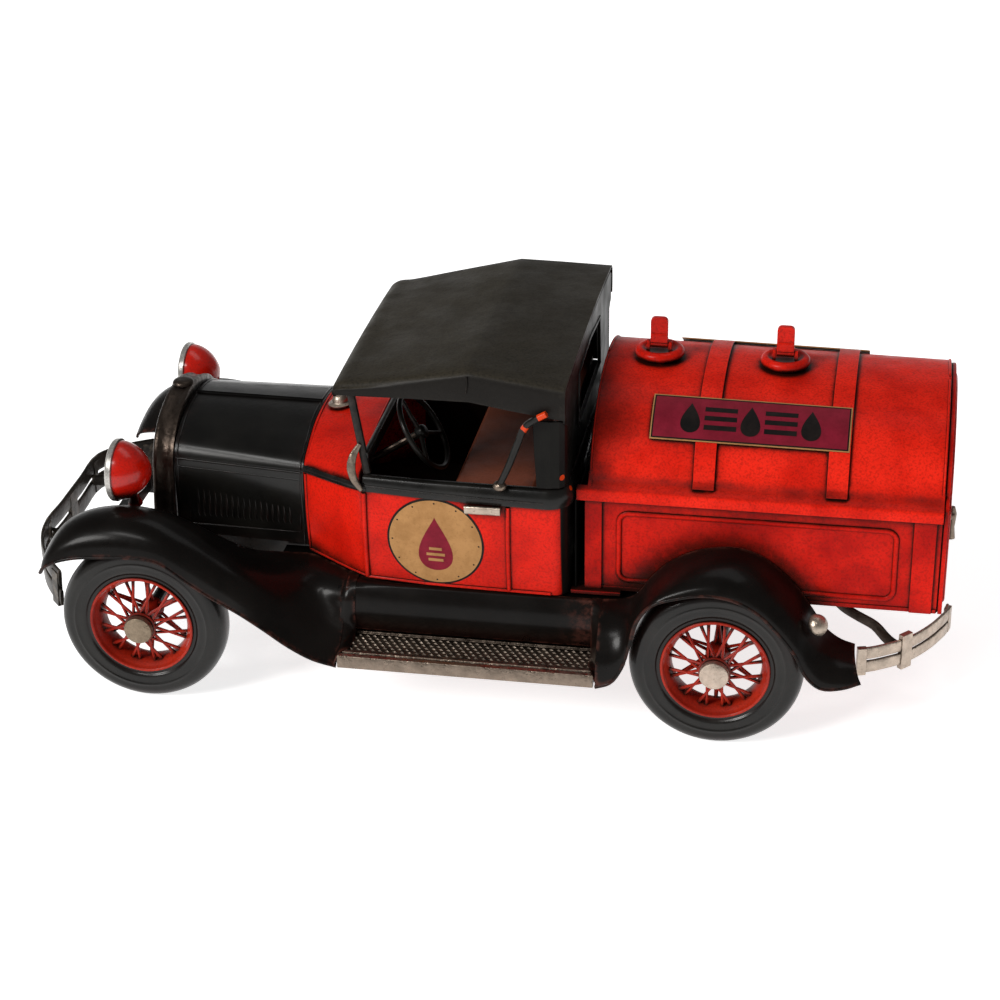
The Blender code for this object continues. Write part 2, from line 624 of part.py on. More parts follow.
def tank_half(x, grow=0.0, segs=9, foot=True):
    """Half section from the side rail up and over to the centre."""
    pts = []
    if foot:
        pts += [(RAIL_Y, RAIL_Z[0]), (RAIL_Y, RAIL_Z[1]), (46.2, RAIL_Z[1] + 0.9)]
    a0 = math.radians(9.0)
    for k in range(segs + 1):
        a = a0 + (math.pi / 2 - a0) * k / segs
        c, s = math.cos(a), math.sin(a)
        y = (TANK_HALF + grow) * max(c, 0.0) ** (2 / TANK_N)
        z = TANK_ZC + (tank_rise(x) + grow) * s ** (2 / TANK_N)
        pts.append((y if k < segs else 0.0, z))
    return pts


tank_rows = [section(tank_half(x), x) for x in TANK_X]
tank_skin = sheet(tank_rows, SHEET, 1.0)
end_half = [(RAIL_Y - 0.5, RAIL_Z[0]), (RAIL_Y - 0.5, RAIL_Z[1] - 0.5)] + tank_half(TANK_X[0], -0.5, foot=False)
end_ring = [(-y, z) for y, z in end_half] + [(y, z) for y, z in reversed(end_half[:-1])]
tank_end = plate(end_ring, lambda u, w, a: (a, u, w), TANK_X[0], TANK_X[0] + 1.2)
node("tank_shell", join(tank_skin, tank_end), "red", angle=30)

for label, (x0, x1) in zip(("front", "rear"), STRAPS):
    rows = [section([(46.9, 88.2)] + tank_half(x, 1.15, foot=False), x) for x in (x0, x1)]
    node(f"tank_strap_{label}", sheet(rows, 0.8, 1.0), "red", angle=30)

for label, x in zip(("front", "rear"), FILLERS):
    z0 = TANK_ZC + tank_rise(x - 8.0) + GAP
    cap = revolve([(0, 0), (7.4, 0), (8.4, 0.9), (8.4, 2.2), (7.2, 3.3), (5.9, 3.4), (5.0, 2.6), (0, 2.6)],
                  20, (x, 0, z0), (0, 0, 1))
    hinge_y, hinge_z = -2.2, z0 + 5.2
    ears = [box(x + s * 3.75 - 0.55, x + s * 3.75 + 0.55, hinge_y - 1.2, hinge_y + 1.2, z0 + 2.0, hinge_z + 1.2)
            for s in (-1, 1)]
    pin = rod((x - 3.8, hinge_y, hinge_z), (x + 3.8, hinge_y, hinge_z), 0.7, None, 12)
    node(f"filler_cap_{label}", join(cap, pin, *ears), "red", (x, 0.0, z0))
    tab = [(-2.95, -1.1), (-2.95, 8.6), (-1.8, 9.8), (1.8, 9.8), (2.95, 8.6), (2.95, -1.1)]
    lever = plate(tab, lambda u, w, a: (x + u, hinge_y + a, hinge_z + w), -1.1, 0.7)
    foot = box(x - 2.95, x + 2.95, hinge_y - 1.35, hinge_y + 1.35, hinge_z - 1.1, hinge_z + 1.3)
    bore = rod((x - 4.6, hinge_y, hinge_z), (x + 4.6, hinge_y, hinge_z), 0.77, None, 12)
    node(f"filler_lever_{label}", cut(join(lever, foot), bore), "red", (x, hinge_y, hinge_z))

bed_profile = [(-BED_HALF, BED_Z[1]), (-BED_HALF, BED_Z[0]), (BED_HALF, BED_Z[0]), (BED_HALF, BED_Z[1]),
               (BED_HALF - 1.0, BED_Z[1]), (BED_HALF - 1.0, BED_Z[0] + 1.0), (-BED_HALF + 1.0, BED_Z[0] + 1.0),
               (-BED_HALF + 1.0, BED_Z[1])]
bed_bits = [plate(bed_profile, lambda u, w, a: (a, u, w), BED_X[0], BED_X[1]),
            box(BED_X[0], BED_X[0] + 1.0, -BED_HALF + 0.5, BED_HALF - 0.5, BED_Z[0] + 0.5, BED_Z[1]),
            box(48.9, 66.0, -49.4, 49.4, 46.9, 48.3)]


def bead(x0, x1, z0, z1, r, width, y_in, y_out):
    """Raised rounded-rectangle bead on a bed side."""
    def loop_pts(inset):
        out = []
        for cx, cz, a0 in ((x1 - r, z1 - r, 0), (x0 + r, z1 - r, 90), (x0 + r, z0 + r, 180), (x1 - r, z0 + r, 270)):
            for k in range(4):
                a = math.radians(a0 + 30 * k)
                out.append((cx + (r - inset) * math.cos(a), cz + (r - inset) * math.sin(a)))
        return out
    rings = [[(x, y, z) for x, z in loop_pts(i)] for i, y in
             ((0.0, y_in), (0.35, y_out), (width - 0.35, y_out), (width, y_in))]
    return loft(rings, loop=True)


for s in (-1, 1):
    for x0, x1 in ((BED_X[0], 59.3), (162.4, 169.8)):
        ya, yb = sorted((s * (BED_HALF - 0.5), s * (BED_HALF + 0.9)))
        bed_bits.append(box(x0, x1, ya, yb, BED_Z[0], BED_Z[1]))
    bed_bits.append(bead(64.0, 158.0, 51.0, 78.4, 4.0, 1.8, s * (BED_HALF - 0.3), s * (BED_HALF + 0.6)))
node("bed_box", join(*bed_bits), "red")

panel_half = [(BED_HALF + 0.4, BED_Z[0]), (BED_HALF + 0.4, 86.0)] + tank_half(TANK_X[1], -0.8, foot=False)
panel_ring = [(-y, z) for y, z in panel_half] + [(y, z) for y, z in reversed(panel_half[:-1])]
panel = plate(panel_ring, lambda u, w, a: (a, u, w), *PANEL_X)


def panel_loop(inset, x):
    half = [(BED_HALF - 2.4 - inset, BED_Z[0] + 3.0 + inset), (BED_HALF - 2.4 - inset, 84.0)]
    half += [(y, z) for y, z in tank_half(TANK_X[1], -4.2 - inset, foot=False)]
    return closed_ring(half, x)


panel_bead = loft([panel_loop(0.0, PANEL_X[1] - 0.3), panel_loop(0.4, PANEL_X[1] + 0.7),
                   panel_loop(1.6, PANEL_X[1] + 0.7), panel_loop(2.0, PANEL_X[1] - 0.3)], loop=True)
node("rear_panel", join(panel, panel_bead), "red")

tap_x = PANEL_X[1] + GAP
tap = join(revolve([(0, 0), (3.8, 0), (3.8, 0.9), (0, 0.9)], 16, (tap_x, 0, 61.4), (1, 0, 0)),
           rod((tap_x + 0.5, 0, 61.4), (tap_x + 2.6, 0, 61.4), 2.0, 1.8, 10),
           rod((tap_x + 1.8, 0, 64.6), (tap_x + 1.8, 0, 52.6), 1.1, 1.5, 10))
node("drain_tap", tap, "pewter")


# ---------------------------------------------------------------- fenders
def front_rows(n_in=3, n_out=3):
    """Rows of the left front fender from nose to running board; each row runs inner edge to outer lip."""
    st = [  # x, inner (y, z), crown (y, z), outer (y, z)
        (-134.6, (43.0, 49.6), (55.0, 50.6), (65.6, 48.4)),
        (-133.2, (40.6, 52.4), (55.0, 55.6), (66.8, 50.6)),
        (-129.0, (37.8, 54.8), (55.5, 61.6), (67.8, 53.8)),
        (-122.0, (35.6, 56.2), (56.0, 66.4), (68.0, 56.2)),
        (-112.5, (34.0, 56.2), (56.0, 69.2), (68.0, 57.4)),
        (-102.0, (33.4, 54.6), (56.0, 69.8), (68.0, 58.0)),
        (-91.0, (32.8, 50.9), (56.0, 67.8), (68.0, 57.0)),
        (-81.5, (32.6, 48.0), (56.2, 63.4), (68.0, 50.6)),
        (-72.5, (32.6, 46.2), (56.6, 57.8), (68.3, 45.0)),
        (-63.5, (32.6, 45.6), (57.0, 52.4), (68.6, 40.2)),
        (-54.5, (32.6, 45.8), (57.2, 48.6), (68.8, 34.4)),
        (-46.0, (33.2, 46.2), (57.4, 47.0), (69.0, 28.6)),
        (-37.5, (38.4, 46.3), (57.4, 47.0), (69.2, 24.4)),
        (-29.4, (44.0, 46.3), (57.0, 47.0), (69.4, 22.6)),
    ]
    tail = [(44.0, 46.3), (50.6, 45.0), (54.2, 41.4), (55.6, 36.4), (57.6, 31.4), (62.4, 27.4), (69.4, 22.6)]
    rows = []
    for x, (yi, zi), (yc, zc), (yo, zo) in st:
        flat = []
        for k in range(n_in):
            t = k / n_in
            flat.append((yi + (yc - yi) * t, zi + (zc - zi) * (1 - (1 - t) ** 2)))
        for k in range(n_out + 1):
            a = math.pi / 2 * k / n_out
            flat.append((yc + (yo - yc) * math.sin(a), zc + (zo - zc) * (1 - math.cos(a))))
        s = min(max((x + 66.0) / 36.6, 0.0), 1.0)
        s = s * s * (3 - 2 * s)
        row = []
        for j, (y, z) in enumerate(flat):
            u = 1.0 - j / (len(flat) - 1)
            ty, tz = lerp([(i / (len(tail) - 1),) + p for i, p in enumerate(tail)], 1.0 - u)
            ty += (yi - tail[0][0]) * u + (yo - tail[-1][0]) * (1 - u)
            tz += (zi - tail[0][1]) * u + (zo - tail[-1][1]) * (1 - u)
            row.append((x, -(y + (ty - y) * s), z + (tz - z) * s))
        rows.append(row)
    return rows


REAR_ST = [  # inner (x, z), outer (x, z), inner y, outer y
    ((60.2, 46.4), (60.2, 22.6), 50.8, 69.6),
    ((65.6, 46.6), (65.0, 24.4), 50.2, 69.4),
    ((70.0, 47.4), (69.0, 30.4), 49.0, 69.0),
    ((72.6, 49.4), (71.4, 38.8), 48.0, 68.4),
    ((75.6, 53.8), (73.6, 48.0), 47.6, 68.0),
    ((81.4, 60.0), (78.6, 54.6), 47.6, 68.0),
    ((89.8, 65.2), (87.0, 58.0), 47.6, 68.0),
    ((97.8, 67.4), (96.4, 59.8), 47.6, 68.0),
    ((105.9, 67.8), (106.0, 58.6), 47.6, 68.0),
    ((112.6, 65.7), (113.6, 54.6), 47.6, 68.0),
    ((119.4, 60.8), (120.0, 48.4), 47.6, 68.0),
    ((126.2, 53.8), (126.6, 39.8), 47.6, 68.0),
    ((131.2, 46.6), (131.0, 31.4), 47.8, 68.0),
    ((136.0, 40.2), (135.2, 28.0), 48.6, 67.8),
    ((141.0, 37.2), (142.2, 28.2), 49.6, 67.2),
    ((145.6, 36.2), (148.4, 30.2), 50.4, 66.0),
]


def rear_rows(n=5):
    rows = []
    for (xi, zi), (xo, zo), yi, yo in REAR_ST:
        row = []
        for k in range(n + 1):
            a = math.pi / 2 * k / n
            c = 1 - math.cos(a)
            row.append((xi + (xo - xi) * c, -(yi + (yo - yi) * math.sin(a)), zi + (zo - zi) * c))
        rows.append(row)
    return rows


pair("front_fender", sheet(front_rows(), SHEET, -1.0), "black")
pair("rear_fender", sheet(rear_rows(), SHEET, -1.0), "black")

apron_half = [(52.8, 44.8), (54.3, 41.0), (54.9, 36.6), (54.2, 32.2), (52.6, 28.4)]
apron = sheet([[(x, -top, 46.3), (x, -0.25 * top - 39.4, 46.0)] + [(x, -y, z) for y, z in apron_half]
               for x, top in ((-28.8, 44.4), (-21.5, 48.6), (0.0, 50.4), (59.6, 51.0))], SHEET, -1.0)
pair("splash_apron", apron, "black")

board_outline = [(-51.6, 23.0), (-51.6, 27.6), (-52.6, 27.6), (-53.0, 26.7), (-65.2, 26.7), (-65.6, 27.5),
                 (-67.2, 27.5), (-67.6, 26.8), (-68.0, 27.3), (-69.6, 27.0), (-70.2, 25.0), (-70.0, 22.5),
                 (-68.8, 22.5), (-68.4, 23.0)]
board = plate(board_outline, lambda u, w, a: (a, u, w), -28.8, 59.6)
pair("running_board", board, "pewter")


# ---------------------------------------------------------------- bumpers
def mirror_path(half):
    return half + [(x, -y) for x, y in reversed(half)]


bump_half = [(-131.8, -54.4), (-137.4, -48.6), (-142.2, -41.4), (-145.2, -33.4), (-145.8, -30.0), (-146.0, -10.0)]
bump_plan = mirror_path(bump_half)
bumper = []
for zc, droop in ((36.6, 4.0), (44.6, 4.0)):
    path = []
    for x, y in bump_plan:
        away = max(0.0, (abs(y) - 30.0) / 24.4)
        path.append((x, y, zc - droop * away))
    bumper.append(bar(path, 3.4, 0.6, (0, 0, 1)))
for y, w in ((0.0, 3.6), (-25.6, 3.6), (25.6, 3.6)):
    bumper.append(box(-146.9, -145.0, y - w, y + w, 33.5, 47.8))
for s in (-1, 1):
    bumper.append(bar([(-135.8, s * 50.4, 39.2 - 3.3), (-132.6, s * 53.6, 39.2 - 3.8)], 7.0, 1.0, (0, 0, 1)))
    bumper.append(bar([(-145.6, s * 22.0, 40.6), (-136.0, s * 22.0, 41.4), (-128.5, s * 22.0, 42.0)], 1.8, 1.0, (0, 0, 1)))
node("front_bumper", join(*bumper), "black")

rb_path = [(146.4, -46.0), (150.0, -45.0), (156.6, -41.2), (162.3, -36.0), (168.6, -28.2), (173.4, -19.6),
           (176.2, -11.8), (176.0, -9.6)]
rb = []
for zc in (24.2, 29.4):
    path = [(x, y, zc + (0.5 if abs(y) > 40 else 0.0)) for x, y in rb_path]
    rb.append(bar(path, 2.2, 0.6, (0, 0, 1)))
for i, half in ((3, 6.6), (0, 5.2), (6, 4.6)):
    x, y = rb_path[i]
    a, b = rb_path[max(i - 1, 0)], rb_path[min(i + 1, len(rb_path) - 1)]
    d = Vector((b[0] - a[0], b[1] - a[1], 0)).normalized() * (2.4 if i == 3 else 1.6)
    if i == 0:
        x, y = x + d.x, y + d.y
    rb.append(bar([(x - d.x, y - d.y, 26.9), (x + d.x, y + d.y, 26.9)], half, 1.0, (0, 0, 1)))
rb.append(bar([(160.6, -35.2, 27.0), (156.4, -34.6, 29.6), (151.6, -33.6, 34.2), (146.0, -31.6, 36.2), (140.4, -28.4, 37.8),
               (136.0, -25.4, 40.6)], 1.9, 0.7, (0, 0, 1)))
bumperette = join(*rb)
node("rear_bumperette_left", bumperette, "pewter")
node("rear_bumperette_right", shifted(flip(bumperette), -5.6), "pewter")

# ---------------------------------------------------------------- lamps and handles
lx, ly, lz = LAMP
bowl_solid = revolve([(0, 0.6), (LAMP_R - 0.4, 0.6), (LAMP_R - 0.5, 2.4), (LAMP_R - 1.6, 6.0), (LAMP_R - 4.4, 9.4),
                      (2.8, 11.5), (0, 12.0)], 20, (lx, -ly, lz), (1, 0, 0))
hollow = revolve([(0, 0.0), (LAMP_R - 1.5, 0.0), (LAMP_R - 1.7, 2.4), (LAMP_R - 3.0, 5.6), (LAMP_R - 6.0, 8.4),
                  (0, 9.6)], 20, (lx, -ly, lz), (1, 0, 0))
post = rod((lx + 5.0, -ly + 1.6, 65.6), (lx + 5.0, -ly, 71.6), 1.8, 1.8, 8)
pair("headlamp_shell", cut(join(bowl_solid, post), hollow), "red")
lens = revolve([(0, -1.9), (5.0, -1.6), (LAMP_R - 1.6, -0.6), (LAMP_R - 0.6, -1.2), (LAMP_R, -0.4), (LAMP_R, 0.3),
                (0, 0.3)], 20, (lx, -ly, lz), (1, 0, 0))
pair("headlamp_rim", lens, "chrome")

cap = revolve([(0, 0), (4.2, 0), (4.4, 0.7), (2.8, 1.2), (2.6, 2.6), (1.8, 3.8), (0, 4.3)], 14, (-40.3, -3.6, 91.0), (-0.09, 0, 1))
node("cowl_filler_cap", cap, "chrome")

n_tail = Vector((0.72, -0.35, 0.6)).normalized()
tail_at = Vector((131.6, -57.6, 45.6))
node("tail_lamp", revolve([(0, 0.7), (3.0, 0.7), (3.7, 1.6), (3.4, 3.2), (2.2, 4.5), (0, 5.2)], 12, tail_at, n_tail),
     "steel")

handle = join(bar([(14.2, -56.2, 79.6), (26.4, -56.8, 80.0)], 1.4, 0.7, (0, 0, 1)),
              bar([(23.3, -55.45, 79.8), (25.4, -55.5, 79.8)], 1.0, 0.9, (0, 0, 1)))
pair("door_handle", handle, "steel")

bpy.context.view_layer.update()
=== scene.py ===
"""Looks for the tin toy tanker truck: finer copies of the pieces, procedural paint and metal, studio stage.

Shapes are written in millimetres in the truck frame (nose to -X, driver's side -Y, ground at Z = 0)
and moved into the shared frame by X_SHIFT.
"""
import math

import bmesh
import bpy
from mathutils import Matrix, Vector


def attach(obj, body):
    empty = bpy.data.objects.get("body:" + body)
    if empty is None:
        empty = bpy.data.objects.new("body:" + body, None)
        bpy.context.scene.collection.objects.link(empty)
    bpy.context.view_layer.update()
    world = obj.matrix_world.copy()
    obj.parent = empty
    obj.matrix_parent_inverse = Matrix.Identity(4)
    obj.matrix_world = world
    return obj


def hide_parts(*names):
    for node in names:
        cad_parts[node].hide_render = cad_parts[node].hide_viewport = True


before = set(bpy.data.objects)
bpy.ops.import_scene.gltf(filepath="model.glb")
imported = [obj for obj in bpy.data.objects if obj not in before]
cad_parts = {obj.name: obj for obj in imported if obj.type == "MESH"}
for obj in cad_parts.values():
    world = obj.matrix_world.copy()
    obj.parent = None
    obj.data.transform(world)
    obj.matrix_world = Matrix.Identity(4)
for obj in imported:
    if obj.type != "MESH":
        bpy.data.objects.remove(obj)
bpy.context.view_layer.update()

MM = 0.001
X_SHIFT = -15.33
GAP = 0.3
SHEET = 0.9
AXLE_X, WHEEL_Y, TYRE_R = 100.0, 58.0, 29.6
LAMP = (-111.2, 43.0, 79.0)
LAMP_R = 10.8
HOOD_X = (-94.9, -47.3)
RAD_X = (-103.2, -95.2)
COWL_X = (-47.0, -22.4)
CAB_Z0, CAB_Z1, CAB_BACK_X = 46.8, 81.4, 48.4
TANK_X = (54.4, 171.6)
TANK_HALF, TANK_ZC, TANK_N = 44.0, 84.0, 2.2
TANK_RISE = (31.4, 29.2)
RAIL_Y, RAIL_Z = 49.0, (82.4, 86.4)
STRAPS = ((89.2, 96.4), (133.2, 140.2))
FILLERS = (72.6, 115.6)
BED_HALF, BED_Z, BED_X = 46.5, (47.8, 82.1), (53.4, 171.6)
PANEL_X = (171.9, 173.3)


# ---------------------------------------------------------------- shapes: (verts, faces)
def box(x0, x1, y0, y1, z0, z1):
    v = [(x, y, z) for x in (x0, x1) for y in (y0, y1) for z in (z0, z1)]
    return v, [(0, 1, 3, 2), (4, 6, 7, 5), (0, 4, 5, 1), (2, 3, 7, 6), (0, 2, 6, 4), (1, 5, 7, 3)]


def loft(rings, caps=True, loop=False):
    n = len(rings[0])
    v = [tuple(p) for ring in rings for p in ring]
    f = []
    for i in range(len(rings) if loop else len(rings) - 1):
        a, b = i * n, ((i + 1) % len(rings)) * n
        for j in range(n):
            k = (j + 1) % n
            f.append((a + j, a + k, b + k, b + j))
    if caps and not loop:
        f.append(tuple(range(n)))
        last = (len(rings) - 1) * n
        f.append(tuple(range(last + n - 1, last - 1, -1)))
    return v, f


def plate(outline, place, a0, a1):
    return loft([[place(u, w, a) for u, w in outline] for a in (a0, a1)])


def spline(pts, n):
    """Smooth curve through the points, n steps between neighbours."""
    pts = [Vector(p) for p in pts]
    m = len(pts)
    gap = [max((pts[i + 1] - pts[i]).length, 1e-6) for i in range(m - 1)]
    tan = []
    for i in range(m):
        if i == 0:
            tan.append((pts[1] - pts[0]) / gap[0])
        elif i == m - 1:
            tan.append((pts[-1] - pts[-2]) / gap[-1])
        else:
            a, b = gap[i - 1], gap[i]
            tan.append(((pts[i + 1] - pts[i]) / b * a + (pts[i] - pts[i - 1]) / a * b) / (a + b))
    out = []
    for i in range(m - 1):
        for k in range(n):
            t = k / n
            h = gap[i]
            out.append(pts[i] * (2 * t ** 3 - 3 * t ** 2 + 1) + tan[i] * (h * (t ** 3 - 2 * t ** 2 + t))
                       + pts[i + 1] * (3 * t ** 2 - 2 * t ** 3) + tan[i + 1] * (h * (t ** 3 - t ** 2)))
    return out + [pts[-1]]


def finer(grid, rows, cols):
    """The grid with more rows and columns, smoothed both ways."""
    wide = [spline(r, cols) if cols > 1 else [Vector(p) for p in r] for r in grid]
    if rows < 2:
        return wide
    lines = [spline([r[j] for r in wide], rows) for j in range(len(wide[0]))]
    return [[line[i] for line in lines] for i in range(len(lines[0]))]


def sheet(grid, thick, side=1.0):
    rows, cols = len(grid), len(grid[0])
    normals = []
    for i in range(rows):
        line = []
        for j in range(cols):
            du = Vector(grid[min(i + 1, rows - 1)][j]) - Vector(grid[max(i - 1, 0)][j])
            dv = Vector(grid[i][min(j + 1, cols - 1)]) - Vector(grid[i][max(j - 1, 0)])
            n = du.cross(dv)
            line.append(n.normalized() if n.length > 1e-9 else Vector((0, 0, 1)))
        normals.append(line)
    v = [tuple(p) for row in grid for p in row]
    v += [tuple(Vector(grid[i][j]) - normals[i][j] * (thick * side)) for i in range(rows) for j in range(cols)]
    m = rows * cols
    f = []
    for i in range(rows - 1):
        for j in range(cols - 1):
            a = i * cols + j
            q = (a, a + 1, a + cols + 1, a + cols)
            f.append(q)
            f.append(tuple(m + k for k in reversed(q)))
    edge = list(range(cols)) + [i * cols + cols - 1 for i in range(1, rows)]
    edge += [(rows - 1) * cols + j for j in range(cols - 2, -1, -1)] + [i * cols for i in range(rows - 2, 0, -1)]
    for a, b in zip(edge, edge[1:] + edge[:1]):
        f.append((a, m + a, m + b, b))
    return v, f


def revolve(profile, segs, centre, axis, phase=0.5):
    axis = Vector(axis).normalized()
    side = Vector((1, 0, 0)) if abs(axis.y) > 0.99 else axis.orthogonal().normalized()
    up = axis.cross(side)
    c = Vector(centre)
    shut = profile[0][0] < 1e-6 and profile[-1][0] < 1e-6
    body = profile[1:-1] if shut else profile
    v = []
    for k in range(segs):
        a = 2 * math.pi * (k + phase) / segs
        d = side * math.cos(a) + up * math.sin(a)
        v += [tuple(c + d * r + axis * h) for r, h in body]
    n = len(body)
    f = []
    for k in range(segs):
        a, b = k * n, ((k + 1) % segs) * n
        for j in range(n - 1 if shut else n):
            t = (j + 1) % n
            f.append((a + j, a + t, b + t, b + j))
    if shut:
        lo, hi = len(v), len(v) + 1
        v += [tuple(c + axis * profile[0][1]), tuple(c + axis * profile[-1][1])]
        for k in range(segs):
            a, b = k * n, ((k + 1) % segs) * n
            f += [(lo, a, b), (hi, b + n - 1, a + n - 1)]
    return v, f


def soft(profile, n=4):
    """A turned profile with its corners rounded by a spline between the points."""
    return [(max(p.x, 0.0), p.y) for p in spline([(a, b, 0) for a, b in profile], n)]


def rod(p, q, r0, r1=None, sides=12, phase=0.5):
    p, q = Vector(p), Vector(q)
    length = (q - p).length
    return revolve([(0, 0), (r0, 0), (r1 if r1 is not None else r0, length), (0, length)], sides, p, q - p, phase)


def bar(path, half_w, half_h, wide, round_n=0):
    """Bar along a path; rounded section when round_n is set."""
    rings = []
    pts = [Vector(p) for p in path]
    for i, p in enumerate(pts):
        t = (pts[min(i + 1, len(pts) - 1)] - pts[max(i - 1, 0)]).normalized()
        w = Vector(wide)
        w = (w - t * w.dot(t)).normalized()
        h = t.cross(w)
        a = half_w[i] if isinstance(half_w, (list, tuple)) else half_w
        b = half_h[i] if isinstance(half_h, (list, tuple)) else half_h
        if round_n:
            ring = []
            for k in range(round_n):
                g = 2 * math.pi * k / round_n
                c, s = math.cos(g), math.sin(g)
                ring.append(p + w * a * math.copysign(abs(c) ** 0.5, c) + h * b * math.copysign(abs(s) ** 0.7, s))
            rings.append(ring)
        else:
            rings.append([p + w * a + h * b, p - w * a + h * b, p - w * a - h * b, p + w * a - h * b])
    return loft(rings)


def tube(path, r, sides=10):
    rings = []
    pts = [Vector(p) for p in path]
    ref = Vector((0, 0, 1))
    for i, p in enumerate(pts):
        t = (pts[min(i + 1, len(pts) - 1)] - pts[max(i - 1, 0)]).normalized()
        if abs(t.dot(ref)) > 0.95:
            ref = Vector((0, 1, 0))
        s = t.cross(ref).normalized()
        u = s.cross(t)
        rr = r[i] if isinstance(r, (list, tuple)) else r
        rings.append([p + (s * math.cos(a) + u * math.sin(a)) * rr
                      for a in (2 * math.pi * (k + 0.5) / sides for k in range(sides))])
    return loft(rings)


def flip(solid):
    v, f = solid
    return [(x, -y, z) for x, y, z in v], [tuple(reversed(q)) for q in f]


def shifted(solid, dx=0.0, dy=0.0, dz=0.0):
    v, f = solid
    return [(x + dx, y + dy, z + dz) for x, y, z in v], f


def gather(*solids):
    """Several solids in one mesh."""
    v, f = [], []
    for s in solids:
        m = len(v)
        v += list(s[0])
        f += [tuple(m + k for k in q) for q in s[1]]
    return v, f


def lerp(table, x):
    if x <= table[0][0]:
        return table[0][1:] if len(table[0]) > 2 else table[0][1]
    for a, b in zip(table, table[1:]):
        if x <= b[0]:
            t = (x - a[0]) / (b[0] - a[0])
            out = tuple(p + (q - p) * t for p, q in zip(a[1:], b[1:]))
            return out if len(out) > 1 else out[0]
    return table[-1][1:] if len(table[-1]) > 2 else table[-1][1]


def piece(name, solid, mat, body="truck", nodes=(), angle=40.0, bevel=0.0, segs=2):
    me = bpy.data.meshes.new(name)
    me.from_pydata([((x + X_SHIFT) * MM, y * MM, z * MM) for x, y, z in (tuple(p) for p in solid[0])], [],
                   [tuple(q) for q in solid[1]])
    bm = bmesh.new()
    bm.from_mesh(me)
    bmesh.ops.remove_doubles(bm, verts=bm.verts, dist=1e-6)
    bmesh.ops.recalc_face_normals(bm, faces=bm.faces)
    bm.to_mesh(me)
    bm.free()
    me.polygons.foreach_set("use_smooth", [True] * len(me.polygons))
    me.set_sharp_from_angle(angle=math.radians(angle))
    me.materials.append(mat)
    ob = bpy.data.objects.new(name, me)
    bpy.context.scene.collection.objects.link(ob)
    if bevel:
        m = ob.modifiers.new("soft_edges", "BEVEL")
        m.width = bevel * MM
        m.segments = segs
        m.limit_method = "ANGLE"
        m.angle_limit = math.radians(35)
        m.harden_normals = True
    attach(ob, body)
    if nodes:
        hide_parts(*nodes)
    return ob


